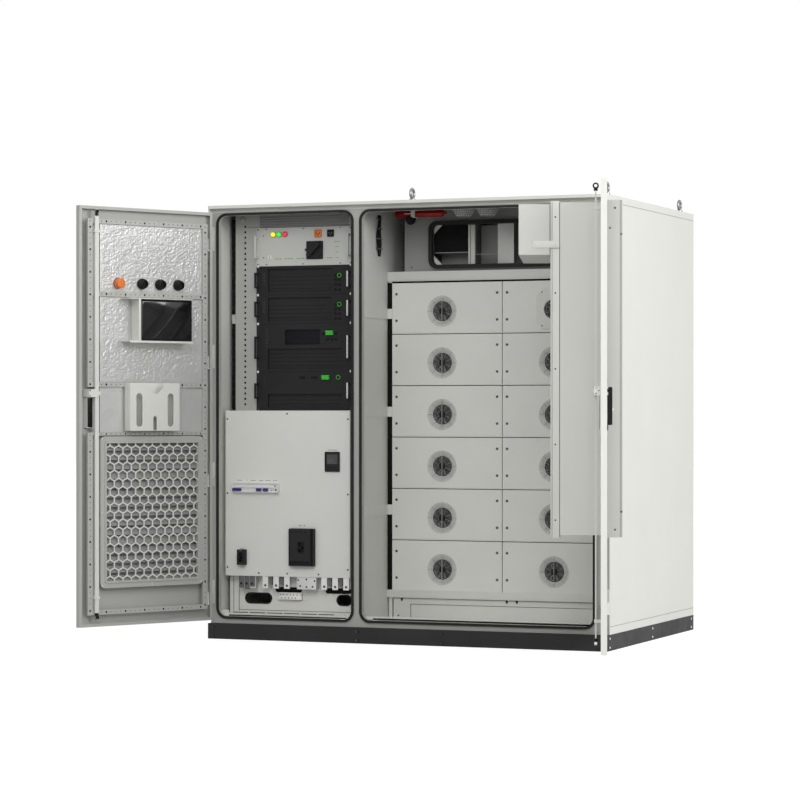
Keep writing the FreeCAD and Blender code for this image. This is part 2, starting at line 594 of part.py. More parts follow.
def rack_unit(name, first, units, tall, recesses=()):
    """Front plate with ears, a box behind it, stepped recesses in its face and two handles."""
    low = f"rack_low + {first} * rack_unit"
    high = f"({units} * rack_unit - unit_gap)"
    plate = block(name + "_plate", ("rack_x", "rack_y", low), ("rack_wide", "rack_panel", high))
    box = block(name + "_box", ("rack_x + rack_body_step", "rail_y", low + " + unit_gap"),
                ("rack_body_wide", "rack_body_deep", high + " - 2 * unit_gap"))
    face = fuse(name + "_face", [plate, box])
    if recesses:
        tools = [block(f"{name}_recess_{number}", (f"left_x + {left}", "rack_y - past", low + f" + {bottom}"),
                       (wide, "recess_deep + past", tall_side))
                 for number, (left, wide, bottom, tall_side) in enumerate(recesses)]
        face = cut(name + "_stepped", face, tools)
    return fuse(name + "_whole", [face] + grips(name, low, high, tall))


def make_rack_units():
    """The five units of the rack, from the bottom up: four, five, three, three and four high."""
    keep("module_4u", rack_unit("module_4u", 0, 4, "grip_short",
                                [("recess_left", "recess_wide", "recess_step",
                                                                  "recess_low_high")]))
    keep("module_5u", rack_unit("module_5u", 4, 5, "grip_tall",
                                [("recess_left", "recess_wide", "recess_step", "recess_middle_high"),
                                 ("screen_left", "screen_wide", "screen_low", "screen_high")]))
    keep("modules_3u", group("modules_3u_group",
                             [rack_unit(f"module_3u_{first}", first, 3, "grip_short",
                                        [("recess_left", "recess_short", "recess_step", "recess_high")])
                              for first in (9, 12)]))
    keep("switch_panel", rack_unit("switch_panel", 15, 4, "grip_tall"))
    return block("screen", ("left_x + screen_left", "rack_y + recess_deep - screen_thick",
                              "rack_low + 4 * rack_unit + screen_low"),
                 ("screen_wide", "screen_thick", "screen_high"))


def make_switch_fittings(screen):
    """Lamps, sockets, screen, strip and meter on the fronts, and the rotary switch with its knob."""
    lamps = [bar(f"lamp_{number}", (f"left_x + lamp_first + {number} * lamp_pitch", "rack_y - lamp_out",
                                    "lamp_z"),
                 "lamp_radius", "lamp_out", ALONG_Y) for number in range(3)]
    sockets = [block(f"socket_{number}", (f"left_x + {x} - socket_side / 2", "rack_y - socket_out",
                                          "lamp_z - socket_side / 2"), ("socket_side", "socket_out",
                                                                        "socket_side"))
               for number, x in enumerate(("socket_first", "socket_second"))]
    backing = block("knob_backing", ("rack_x + knob_x - knob_plate / 2", "rack_y - knob_seat",
                                     "knob_z - knob_plate / 2"),
                    ("knob_plate", "knob_seat", "knob_plate"))
    strip = block("connector_strip", ("left_x + strip_left", "inverter_y - strip_out", "strip_low"),
                  ("strip_wide", "strip_out", "strip_high"))
    device = block("cover_device", ("left_x + device_left", "inverter_y - device_out", "device_low"),
                   ("device_wide", "device_out", "device_high"))
    keep("panel_fittings", group("fitting_group", lamps + sockets + [backing, screen, strip, device]))
    disc = bar("knob_disc", ("rack_x + knob_x", "rack_y - knob_seat - knob_gap - knob_flange", "knob_z"),
               "knob_plate / 2 - knob_rim", "knob_flange", ALONG_Y)
    lever = block("knob_lever", ("-knob_bar / 2", "-knob_out", "-knob_plate / 2 + knob_rim"),
                  ("knob_bar", "knob_out", "knob_plate - 2 * knob_rim"))
    lever.Placement.Rotation = FreeCAD.Rotation(FreeCAD.Vector(0, 1, 0), KNOB_TILT)
    half = "(knob_plate / 2 - knob_rim)"
    tilt = math.radians(KNOB_TILT)
    corner_x = f"rack_x + knob_x - {math.cos(tilt)} * knob_bar / 2 - {math.sin(tilt)} * {half}"
    corner_z = f"knob_z + {math.sin(tilt)} * knob_bar / 2 - {math.cos(tilt)} * {half}"
    for axis, text in zip("xyz", (corner_x, "rack_y - knob_seat - knob_gap - knob_flange - knob_out",
                                  corner_z)):
        lever.setExpression(".Placement.Base." + axis, tie(text))
    keep("switch_knob", fuse("knob", [disc, lever]))


def make_inverter():
    """Power converter below the rack: body, front cover with cut-outs, breakers, tabs and back plate."""
    body = block("inverter_box", ("inverter_x", "inverter_y + cover_thick", "inverter_low"),
                 ("inverter_wide", "inverter_deep", "inverter_top - inverter_low"))
    keep("inverter", body)
    cover = sheet_body("inverter_front_cover", ("inverter_wide", "inverter_top - inverter_low"),
                       "cover_thick",
                       [(("breaker_left - inverter_left - slot_clear",
                          "breaker_low - inverter_low - slot_clear"),
                         ("breaker_wide + 2 * slot_clear", "breaker_high + 2 * slot_clear"), None),
                        (("small_left - inverter_left - slot_clear",
                          "breaker_low - inverter_low - slot_clear"),
                         ("small_wide + 2 * slot_clear", "small_high + 2 * slot_clear"), None)])
    place(cover, ("inverter_x", "inverter_y", "inverter_low"))
    breakers = []
    for name, left, wide, high, lever in (("main", "breaker_left", "breaker_wide", "breaker_high",
                                           "lever_wide"),
                                          ("small", "small_left", "small_wide", "small_high", "small_lever")):
        case = block(name + "_case", (f"left_x + {left}", "inverter_y - breaker_out", "breaker_low"),
                     (wide, "breaker_out + cover_thick", high))
        window = block(name + "_window", (f"left_x + {left} + ({wide} - {lever}) / 2 - slot_clear",
                                          "inverter_y - breaker_out - past",
                                          f"breaker_low + {high} / 2 - lever_sweep"),
                       (f"{lever} + 2 * slot_clear", "lever_well + past", "2 * lever_sweep"))
        breakers.append(cut(name + "_breaker", case, [window]))
        grip = block(name + "_lever", (f"left_x + {left} + ({wide} - {lever}) / 2",
                                       "inverter_y - breaker_out - lever_out",
                                       f"breaker_low + {high} / 2 - lever_thick / 2"),
                     (lever, "lever_out + lever_well - axle_clear - lever_axle", "lever_thick"))
        axle = bar(name + "_axle", (f"left_x + {left} + ({wide} - {lever}) / 2",
                                    "inverter_y - breaker_out + lever_well - axle_clear - lever_axle",
                                    f"breaker_low + {high} / 2"), "lever_axle", lever, ALONG_X)
        keep(name + "_breaker_lever", fuse(name + "_lever_whole", [grip, axle]))
    keep("breakers", group("breaker_group", breakers))
    plate = sheet_body("lower_plate", ("inverter_wide", "inverter_low - floor_top"), "cover_thick",
                       [(("cable_first - inverter_left", "cable_low - floor_top"), ("cable_wide",
                                                                                    "cable_high"),
                         "cable_high / 2 - past"),
                        (("cable_second - inverter_left", "cable_low - floor_top"), ("cable_short",
                                                                                     "cable_high"),
                         "cable_high / 2 - past")])
    place(plate, ("inverter_x", "front_y + back_plate", "floor_top"))
    keep("inverter_covers", group("inverter_cover_group", [cover, plate]))
    tabs = []
    for left in ("tab_first", "tab_first + tab_pitch", "tab_first + 2 * tab_pitch",
                 "tab_fourth", "tab_fourth + tab_pitch", "tab_fourth + 2 * tab_pitch"):
        number = len(tabs)
        blade = block(f"tab_{number}", (f"left_x + {left}", "front_y + tab_front", "tab_low"),
                      ("tab_wide", "tab_thick", "inverter_low - tab_low"))
        hole = bar(f"tab_hole_{number}", (f"left_x + {left} + tab_wide / 2", "front_y + tab_front - past",
                                          "tab_low + tab_wide / 2"), "tab_hole", "tab_thick + 2 * past",
                                          ALONG_Y)
        tabs.append(cut(f"tab_cut_{number}", blade, [hole]))
    blocks = [block("terminal_block", ("left_x + block_left", "front_y + tab_front", "tab_low"),
                    ("block_wide", "block_deep", "inverter_low - tab_low")),
              block("signal_block", ("left_x + signal_left", "front_y + tab_front", "tab_low"),
                    ("signal_wide", "block_deep", "inverter_low - tab_low")),
              block("earth_bar", ("left_x + earth_left", "front_y + back_plate - earth_out", "earth_low"),
                    ("earth_wide", "earth_out", "earth_high"))]
    keep("terminals", group("terminal_group", tabs + blocks))


def make_battery_rack():
    """Uprights, top and bottom beams and the shelf angles that carry the packs."""
    pieces = []
    wide = "2 * pack_wide"
    rack_high = "packs_top + beam_top - floor_top"
    for x in ("pack_x - upright - pack_side_gap", "pack_x + 2 * pack_wide + pack_side_gap"):
        for y in ("pack_y + front_thick", "pack_body_y + pack_deep - upright_deep"):
            pieces.append(block(f"upright_{len(pieces)}", (x, y, "floor_top"), ("upright", "upright_deep",
                                                                                rack_high)))
    for z, high in (("packs_top", "beam_top"), ("pack_low - beam_low", "beam_low")):
        for y in ("pack_y + front_thick", "pack_body_y + pack_deep - upright_deep"):
            pieces.append(block(f"beam_{len(pieces)}", ("pack_x - pack_side_gap", y, z),
                                (wide + " + 2 * pack_side_gap", "upright_deep", high)))
    for x in ("pack_x - pack_side_gap", "pack_x + 2 * pack_wide + pack_side_gap - shelf_foot"):
        for row in range(1, int(size("pack_rows"))):
            pieces.append(block(f"shelf_{len(pieces)}", (x, "pack_body_y",
                                                         f"pack_low + {row} * pack_pitch - shelf_rail"),
                                ("shelf_foot", "pack_deep", "shelf_rail")))
    for row in range(1, int(size("pack_rows"))):
        pieces.append(block(f"middle_shelf_{row}", ("pack_x + pack_wide - shelf_foot", "pack_body_y",
                                                    f"pack_low + {row} * pack_pitch - shelf_rail"),
                            ("2 * shelf_foot", "pack_deep", "shelf_rail")))
    middle = block("middle_upright", ("pack_x + pack_wide - upright / 2", "pack_body_y + pack_deep",
                                      "floor_top"),
                   ("upright", "rear_strip", rack_high))
    keep("battery_rack", fuse("rack_frame", pieces + [middle]))


def pack_corner(column, row):
    """Lower left corner of one pack's place in the rack."""
    return (f"pack_x + {column} * pack_wide + pack_side_gap", f"pack_low + {row} * pack_pitch")


def is_master(column, row):
    """The top right place holds the master box, with an octagonal plate round its fan."""
    return column == 1 and row == int(size("pack_rows")) - 1


def make_packs():
    """Battery packs in two columns, each with a pressed front plate dished round its fan."""
    high = "pack_high"
    wide = "pack_wide - 2 * pack_side_gap"
    for column, label in enumerate(("left_packs", "right_packs")):
        solids = []
        for row in range(int(size("pack_rows"))):
            x, z = pack_corner(column, row)
            name = f"pack_{column}_{row}"
            body = block(name, (x, "pack_body_y", z), (wide, "pack_deep", high))
            plate = block(name + "_plate", (x, "pack_y", z), (wide, "front_thick", high))
            fan_x, fan_z = x + " - pack_side_gap + fan_x", z + " + fan_z"
            well = bar(name + "_well", (fan_x, "pack_body_y - past", fan_z), "fan_radius", "fan_well + past",
                       ALONG_Y)
            axle = bar(name + "_axle", (fan_x, "pack_y + rotor_setback + rotor_deep / 2", fan_z),
                       "axle_radius",
                       "fan_well + front_thick - rotor_setback - rotor_deep / 2 + past", ALONG_Y)
            body = fuse(name + "_with_axle", [cut(name + "_cut", body, [well]), axle])
            hole = bar(name + "_hole", (fan_x, "pack_y - hatch_out - past", fan_z), "fan_radius",
                       "hatch_out + front_thick + 2 * past", ALONG_Y)
            if is_master(column, row):
                cover = eight_sided(name + "_cover", (fan_x, "pack_y - hatch_out", fan_z))
                plate = cut(name + "_plate_cut", fuse(name + "_plate_hatch", [plate, cover]), [hole])
            else:
                dish = cone(name + "_dish", (fan_x, "pack_y", fan_z), "dish_radius", "fan_radius",
                            "dish_deep", ALONG_Y)
                plate = cut(name + "_plate_cut", plate, [hole, dish])
            solids.append(fuse(name + "_whole", [body, plate]))
        keep(label, group(label + "_group", solids))


def eight_sided(name, middle):
    """A thin octagonal plate that stands on one of its flats."""
    prism = doc.addObject("Part::Prism", name)
    prism.Polygon = 8
    prism.setExpression("Circumradius", tie("hatch_radius"))
    prism.setExpression("Height", tie("hatch_out"))
    flat = FreeCAD.Rotation(FreeCAD.Vector(0, 0, 1), HALF_FACET)
    return place(prism, middle, ALONG_Y.multiply(flat))


def rotor_shape():
    """Axial fan rotor about the Y axis: a hub with a blind bore and twisted blades set into it."""
    hub_radius, tip_radius = size("hub_radius"), size("rotor_radius")
    deep, thick = size("rotor_deep"), size("blade_thick")
    hub = Part.makeCylinder(hub_radius, deep)
    bore = Part.makeCylinder(size("axle_radius + axle_gap"), deep / 2 + 1, FreeCAD.Vector(0, 0, deep / 2))
    shape = hub.cut(bore)
    blades = int(size("blade_count"))
    for number in range(blades):
        sections = []
        for radius, pitch in ((hub_radius - size("blade_root"), size("blade_pitch")),
                              (tip_radius, size("blade_pitch") * ROOT_TO_TIP)):
            chord = 2 * math.pi * radius / blades * BLADE_FILL
            rise = min(chord * math.tan(math.radians(pitch)), deep - 2 * thick) / 2
            half = math.asin(min(chord / 2 / radius, 0.95))
            corners = []
            for turn, lift in ((-half, -rise - thick / 2), (half, rise - thick / 2),
                               (half, rise + thick / 2), (-half, -rise + thick / 2)):
                angle = turn + 2 * math.pi * number / blades
                corners.append(FreeCAD.Vector(radius * math.cos(angle), radius * math.sin(angle),
                                              deep / 2 + lift))
            sections.append(Part.makePolygon(corners + corners[:1]))
        shape = shape.fuse(Part.makeLoft(sections, True, True))
    return shape.removeSplitter()


def make_rotors():
    """One rotor in each fan well, set on its axle."""
    shape = rotor_shape()
    for column in range(2):
        for row in range(int(size("pack_rows"))):
            x, z = pack_corner(column, row)
            rotor = solid(f"rotor_{column}_{row}", shape)
            place(rotor, (x + " - pack_side_gap + fan_x", "pack_y + rotor_setback", z + " + fan_z"), ALONG_Y)
            keep(f"fan_rotor_{'left' if column == 0 else 'right'}_{row + 1}", rotor)


def make_guards():
    """Finger guard in the mouth of each fan: a rim, one ring and four spokes, flat wire."""
    guards = []
    for column in range(2):
        for row in range(int(size("pack_rows"))):
            x, z = pack_corner(column, row)
            name = f"guard_{column}_{row}"
            middle = (x + " - pack_side_gap + fan_x", "pack_y + dish_deep - guard_thick", z + " + fan_z")
            rim = bar(name + "_rim", middle, "fan_radius", "guard_thick", ALONG_Y)
            inner = bar(name + "_rim_hole", middle, "fan_radius - guard_rim", "guard_thick", ALONG_Y)
            hub = bar(name + "_hub", middle, "hub_radius", "guard_thick", ALONG_Y)
            spoke_up = block(name + "_up", (middle[0] + " - guard_bar / 2", middle[1],
                                            middle[2] + " - fan_radius + guard_sunk"),
                             ("guard_bar", "guard_thick", "2 * (fan_radius - guard_sunk)"))
            spoke_over = block(name + "_over", (middle[0] + " - fan_radius + guard_sunk", middle[1],
                                                middle[2] + " - guard_bar / 2"),
                               ("2 * (fan_radius - guard_sunk)", "guard_thick", "guard_bar"))
            guards.append(fuse(name, [cut(name + "_rim_cut", rim, [inner]), hub, spoke_up, spoke_over]))
    keep("fan_guards", group("guard_group", guards))


def make_duct():
    """Duct box above the packs: a front sheet with the air opening, its seal, and a shallow box behind."""
    high = "ceiling - packs_top - beam_top"
    wide = "far_edge + duct_past - left_x - duct_edge"
    mouth_place = ("duct_left - duct_edge", "duct_low - height + sheet + " + high)
    mouth_size = ("duct_wide", "duct_top - duct_low")
    front = sheet_body("duct_sheet", (wide, high), "duct_sheet", [(mouth_place, mouth_size, "duct_corner")])
    place(front, ("left_x + duct_edge", "front_y + duct_front", "packs_top + beam_top"))
    base_z = "packs_top + beam_top"
    floor = block("duct_floor", ("left_x + duct_edge", "front_y + duct_front + duct_sheet", base_z),
                  (wide, "duct_deep", "duct_sheet"))
    back = block("duct_back", ("left_x + duct_edge", "front_y + duct_front + duct_sheet + duct_deep", base_z),
                 (wide, "duct_sheet", high))
    ends = [block(f"duct_end_{number}", (x, "front_y + duct_front + duct_sheet", base_z),
                  ("duct_sheet", "duct_deep", high))
            for number, x in enumerate(("left_x + duct_edge", "far_edge + duct_past - duct_sheet"))]
    baffle = block("duct_baffle", ("left_x + baffle_left", "front_y + duct_front + duct_sheet", base_z),
                   ("duct_sheet", "duct_deep", high))
    keep("duct_box", fuse("duct_whole", [front, floor, back, baffle] + ends))


def make_safety():
    """Fire suppression bottle, its nozzle dome and two ceiling detectors under the roof."""
    pieces = [bar("bottle", ("left_x + bottle_left", "front_y + bottle_y", "bottle_z"), "bottle_radius",
                  "bottle_long", ALONG_X)]
    for number, x in enumerate(("bottle_left + strap_inset",
                                "bottle_left + bottle_long - strap_inset - strap_wide")):
        pieces.append(block(f"bottle_strap_{number}", ("left_x + " + x,
                                                       "front_y + bottle_y - strap_thick / 2",
                                                       "bottle_z + bottle_radius - past"),
                            ("strap_wide", "strap_thick", "ceiling - bottle_z - bottle_radius + past")))
    fittings = [fuse("bottle_with_straps", pieces)]
    for number, x in enumerate(("detector_first", "detector_second")):
        start = ("left_x + " + x, "front_y + bottle_y", "ceiling - detector_high")
        cap = cone(f"detector_cap_{number}", start, "detector_mouth", "detector_radius", "detector_high / 2")
        seat = bar(f"detector_seat_{number}", (start[0], start[1], "ceiling - detector_high / 2"),
                   "detector_radius", "detector_high / 2")
        fittings.append(fuse(f"detector_{number}", [cap, seat]))
    keep("fire_fittings", group("fire_group", fittings))


def hinge_rows():
    """Heights of the lower ends of the hinges."""
    last = int(size("hinge_rows")) - 1
    return [f"(hinge_lowest + {row} * (hinge_highest - hinge_lowest) / {last})" for row in range(last + 1)]


def mirror(side, near, wide):
    """Left edge of a span on a door, measured from the hinge towards the free end."""
    return f"({near})" if side == "left" else f"(-({near}) - ({wide}))"


def on_door(side, name, near, wide, start, deep, low, high):
    """A box on a closed door: from the hinge outwards, from the hinge line inwards, and up."""
    return block(name, (mirror(side, near, wide), start, low), (wide, deep, high))


def make_hinges():
    """Cabinet halves of the hinges: a leaf on the frame, an arm, the lower knuckle and the pin."""
    leaves = []
    half = "(hinge_high / 2 - running_gap)"
    for side, sign, axis in (("left", 1, "left_hinge_x"), ("right", -1, "right_hinge_x")):
        edge = "left_x" if side == "left" else "right_x"
        for row, z in enumerate(hinge_rows()):
            name = f"{side}_hinge_{row}"
            leaf_x = edge if sign > 0 else edge + " - hinge_leaf"
            arm_x = edge if sign > 0 else edge + " - sheet"
            leaf = block(name + "_leaf", (leaf_x, "frame_y - sheet", z), ("hinge_leaf", "sheet",
                                                                          "hinge_high"))
            arm = block(name + "_arm", (arm_x, "hinge_y", z), ("sheet", "frame_setback - hinge_step - past",
                                                               half))
            knuckle = bar(name + "_knuckle", (axis, "hinge_y", z), "hinge_radius", half)
            pin = bar(name + "_pin", (axis, "hinge_y", z), "hinge_pin", "hinge_high")
            leaves.append(fuse(name, [leaf, arm, knuckle, pin]))
    keep("hinge_leaves", group("hinge_group", leaves))


def door_tray(side, wide, windows):
    """Folded door sheet with a lip all round, hinge blocks bored for the pins, and its windows."""
    outer = on_door(side, side + "_door_outer", "-door_near", wide, "-hinge_step", "door_thick",
                    "door_bottom", "door_high")
    inner = on_door(side, side + "_door_inner", "door_sheet - door_near", wide + " - 2 * door_sheet",
                    "door_sheet - hinge_step", "door_thick - 2 * door_sheet", "door_bottom + door_sheet",
                    "door_high - 2 * door_sheet")
    mouth = on_door(side, side + "_door_mouth", "door_fold - door_near", wide + " - 2 * door_fold",
                    "door_face - door_sheet - past", "door_sheet + 2 * past", "door_bottom + door_fold",
                    "door_high - 2 * door_fold")
    blocks = []
    holes = []
    for row, z in enumerate(hinge_rows()):
        middle = f"{z} + hinge_high / 2"
        blocks.append(on_door(side, f"{side}_hinge_block_{row}", "-door_near", "door_fold", "-hinge_step",
                              "door_thick",
                              middle, "hinge_high / 2 + hinge_pocket"))
        holes.append(bar(f"{side}_pin_bore_{row}", ("0", "0", middle + " - past"), "hinge_pin + pin_gap",
                         "hinge_high / 2 + 1 + running_gap"))
        holes.append(bar(f"{side}_knuckle_pocket_{row}", ("0", "0", z + " - hinge_pocket"),
                         "hinge_radius + hinge_pocket", "hinge_high / 2 + hinge_pocket"))
    tray = cut(side + "_door_tray", outer, [inner, mouth])
    return cut(side + "_door_cut", fuse(side + "_door_blocks", [tray] + blocks), holes + windows)


def make_latch(side, rod_x):
    """Handle, spindle, lock bridge, rods with tips and their guides on one door."""
    name = side + "_latch"
    x = rod_x if side == "left" else f"-({rod_x})"
    shift = " + lock_shift" if side == "left" else " - lock_shift"
    guides = []
    for end_name, z in (("top", "rod_top - guide_from_end - guide_high"), ("low", "rod_low + guide_from_end"),
                        ("bridge", "lock_z - lock_high / 2")):
        high = "lock_high" if end_name == "bridge" else "guide_high"
        wide = "lock_wide" if end_name == "bridge" else "rod_wide + 2 * running_gap + 2 * guide_wall"
        deep = "rod_y - skin_y + rod_thick / 2 + running_gap + guide_wall"
        middle = x + shift if end_name == "bridge" else x
        outer = block(f"{name}_{end_name}", (f"{middle} - ({wide}) / 2", "skin_y", z), (wide, deep, high))
        tunnel_deep = ("rod_y - skin_y + rod_thick / 2 + running_gap + past" if end_name == "bridge"
                       else "rod_thick + 2 * running_gap")
        tunnel_y = ("skin_y - past" if end_name == "bridge" else "rod_y - rod_thick / 2 - running_gap")
        tunnel_wide = ("lock_wide - 2 * guide_wall" if end_name == "bridge" else "rod_wide + 2 * running_gap")
        tunnel = block(f"{name}_{end_name}_tunnel", (f"{middle} - ({tunnel_wide}) / 2", tunnel_y,
                                                     z + " - past"),
                       (tunnel_wide, tunnel_deep, high + " + 2 * past"))
        guides.append(cut(f"{name}_{end_name}_guide", outer, [tunnel]))
    grip_x = handle_middle(side, rod_x)
    dish = block(name + "_dish", (f"{grip_x} - handle_wide / 2", "-hinge_step - dish_out",
                                  "handle_top - dish_high"),
                 ("handle_wide", "door_thick + dish_out + dish_in", "dish_high"))
    hinge = (f"{side}_hinge_x", "hinge_y", "0")
    turn = "-left_open" if side == "left" else "right_open"
    keep(f"{side}_rod_guides", group(name + "_guides", guides + [dish]), hinge, turn)
    upper = block(name + "_upper_bar", (f"{x} - rod_wide / 2", "rod_y - rod_thick / 2",
                                        "lock_z + cam_radius"),
                  ("rod_wide", "rod_thick", "rod_top - tip_long - lock_z - cam_radius"))
    upper_tip = bar(name + "_upper_tip", (x, "rod_y", "rod_top - tip_long"), "tip_radius", "tip_long")
    lower = block(name + "_lower_bar", (f"{x} - rod_wide / 2", "rod_y - rod_thick / 2", "rod_low + tip_long"),
                  ("rod_wide", "rod_thick", "lock_z - cam_radius - rod_low - tip_long"))
    lower_tip = bar(name + "_lower_tip", (x, "rod_y", "rod_low"), "tip_radius", "tip_long")
    feet = [on_door(side, f"{name}_{end_name}_foot", rod_x, "handle_shift + foot_past",
                    "rod_y - rod_thick / 2",
                    "rod_thick", z, "foot_high")
            for end_name, z in (("upper", "lock_z + cam_radius"), ("lower",
                                                                   "lock_z - cam_radius - foot_high"))]
    keep(f"{side}_rod_upper", fuse(name + "_upper", [upper, upper_tip, feet[0]]), hinge, turn)
    keep(f"{side}_rod_lower", fuse(name + "_lower", [lower, lower_tip, feet[1]]), hinge, turn)
    lever = block(name + "_lever", (f"{grip_x} - handle_wide / 2",
                                    "-hinge_step - dish_out - handle_gap - handle_deep",
                                    "lock_z - handle_long + handle_wide / 2"),
                  ("handle_wide", "handle_deep", "handle_long"))
    spindle = bar(name + "_spindle", (grip_x, "-hinge_step - dish_out - handle_gap - past", "lock_z"),
                  "spindle_radius",
                  "rod_y - rod_thick / 2 - running_gap + hinge_step + dish_out + handle_gap + past", ALONG_Y)
    cam = bar(name + "_cam", (grip_x, "door_face + cam_gap", "lock_z"), "cam_wheel", "cam_thick", ALONG_Y)
    keep(f"{side}_handle", fuse(name + "_handle", [lever, spindle, cam]), hinge, turn)


def handle_middle(side, rod_x):
    """Middle of the handle, which stands between the rods and the door's free edge."""
    return f"({rod_x} + handle_shift)" if side == "left" else f"(-({rod_x}) - handle_shift)"


def spindle_bore(side, rod_x):
    """Hole through a door for the handle's spindle."""
    x = handle_middle(side, rod_x)
    return bar(side + "_spindle_bore", (x, "-hinge_step - past", "lock_z"), "spindle_radius + pin_gap",
               "door_thick + 2 * past", ALONG_Y)


def dish_window(side, rod_x):
    """Cut-out through a door for the black handle dish."""
    x = handle_middle(side, rod_x)
    return block(side + "_dish_window", (f"{x} - handle_wide / 2", "-hinge_step - past",
                                         "handle_top - dish_high"),
                 ("handle_wide", "door_thick + 2 * past", "dish_high"))


def make_left_door():
    """Left door: folded sheet with intake slots, perforated frame, wool, filter and its fittings."""
    hinge = ("left_hinge_x", "hinge_y", "0")
    windows = [spindle_bore("left", "left_rod"), dish_window("left", "left_rod")]
    slots = int(size("(filter_top - filter_low - 2 * filter_border) / slot_pitch"))
    for number in range(slots):
        windows.append(on_door("left", f"intake_slot_{number}", "filter_near + filter_border",
                               "filter_far - filter_near - 2 * filter_border", "-hinge_step - past",
                               "door_sheet + 2 * past",
                               f"filter_low + filter_border + {number} * slot_pitch", "slot_wide_open"))
    for number, x in enumerate(("button_first", "button_second", "button_third", "button_fourth")):
        windows.append(bar(f"button_bore_{number}", (x, "-hinge_step - past", "button_high"), "button_neck",
                           "door_sheet + 2 * past", ALONG_Y))
    keep("left_door", door_tray("left", "left_door", windows), hinge, "-left_open")
    rails = [on_door("left", "far_rail", "rail_far - rail_wide", "rail_wide", "door_face", "rail_thick",
                     "rail_low",
                     "rail_top - rail_low"),
             on_door("left", "near_rail", "rail_near", "rail_wide", "door_face", "rail_thick", "rail_low",
                     "rail_top - rail_low")]
    crossings = (("low", "rail_low"), ("top", "rail_top - rail_cross"), ("first",
                                                                         "cross_first - rail_cross / 2"),
                 ("second", "cross_second - rail_cross / 2"), ("third", "cross_third - rail_thin / 2"))
    for name, z in crossings:
        rails.append(on_door("left", name + "_cross", "rail_near", "rail_far - rail_near", "door_face",
                             "rail_thick", z,
                             "rail_thin" if name == "third" else "rail_cross"))
    holes = []
    for number in range(int(size("(rail_far - rail_near) / rail_pitch"))):
        holes.append(bar(f"cross_hole_{number}", (f"rail_near + rail_wide + {number} * rail_pitch",
                                                  "door_face - past",
                                                  "rail_top - rail_cross / 2"), "rail_hole",
                                                  "rail_thick + 2 * past", ALONG_Y))
    for side, x in (("far", "rail_far - rail_wide / 2"), ("near", "rail_near + rail_wide / 2")):
        for number in range(int(size("(rail_top - rail_low) / rail_pitch_up"))):
            holes.append(bar(f"{side}_hole_{number}", (x, "door_face - past",
                                                       f"rail_low + rail_wide + {number} * rail_pitch_up"),
                             "rail_hole", "rail_thick + 2 * past", ALONG_Y))
    holes.append(block("lock_gap", ("wool_far", "door_face - past", "cross_third + rail_thin / 2"),
                       ("rail_far", "rail_thick + 2 * past",
                        "cross_second - cross_third - rail_cross / 2 - rail_thin / 2")))
    keep("left_door_frame", cut("perforated_frame", fuse("frame_bars", rails), holes), hinge, "-left_open")
    wool = []
    for number, (low, high) in enumerate((("cross_first + rail_cross / 2", "rail_top - rail_cross"),
                                          ("cross_second + rail_cross / 2", "cross_first - rail_cross / 2"),
                                          ("cross_third + rail_thin / 2", "cross_second - rail_cross / 2"))):
        pad = on_door("left", f"wool_{number}", "rail_near + rail_wide", "wool_far - rail_wide - rail_near",
                      "door_sheet - hinge_step", "door_thick - door_sheet + wool_proud", low,
                      f"({high}) - ({low})")
        wells = []
        if number == 0:
            for count, x in enumerate(("button_first", "button_second", "button_third", "button_fourth")):
                wells.append(bar(f"button_well_{count}", (x, "-hinge_step", "button_high"), "button_radius",
                                 "door_thick + wool_proud + past", ALONG_Y))
        wool.append(cut(f"wool_cut_{number}", pad, wells) if wells else pad)
    keep("door_insulation", group("wool_group", wool), hinge, "-left_open")
    border = on_door("left", "filter_outer", "filter_near", "filter_far - filter_near", "door_face",
                     "filter_thick",
                     "filter_low", "filter_top - filter_low")
    window = on_door("left", "filter_window", "filter_near + filter_border",
                     "filter_far - filter_near - 2 * filter_border",
                     "door_face - past", "filter_thick + 2 * past", "filter_low + filter_border",
                     "filter_top - filter_low - 2 * filter_border")
    mesh = on_door("left", "filter_sheet", "filter_near + filter_border",
                   "filter_far - filter_near - 2 * filter_border",
                   "door_face + filter_thick / 2", "mesh_thick", "filter_low + filter_border",
                   "filter_top - filter_low - 2 * filter_border")
    keep("air_filter", group("filter_group", [cut("filter_ring", border, [window]), mesh]), hinge,
         "-left_open")
    make_display(hinge)
    make_pocket(hinge)
    make_buttons(hinge)
    make_latch("left", "left_rod")


def make_display(hinge):
    """Display housing on its folded bracket inside the left door."""
    box = on_door("left", "display_box", "display_left", "display_wide", "door_face + rail_thick",
                  "display_deep",
                  "display_low", "display_high")
    flanges = []
    for name, z in (("low", "display_low - display_bracket"), ("top", "display_low + display_high")):
        flanges.append(on_door("left", f"display_{name}_flange", "display_left - display_bracket",
                               "display_wide + display_flange + display_bracket", "door_face + wool_proud",
                               "display_deep + rail_thick - wool_proud + display_bracket",
                               z, "display_bracket"))
    side = on_door("left", "display_side", "display_left + display_wide", "display_side",
                   "door_face + wool_proud",
                   "display_deep + rail_thick - wool_proud + display_bracket", "display_low", "display_high")
    keep("display_unit", group("display_group", [box, fuse("display_bracket_whole", flanges + [side])]),
         hinge,
         "-left_open")


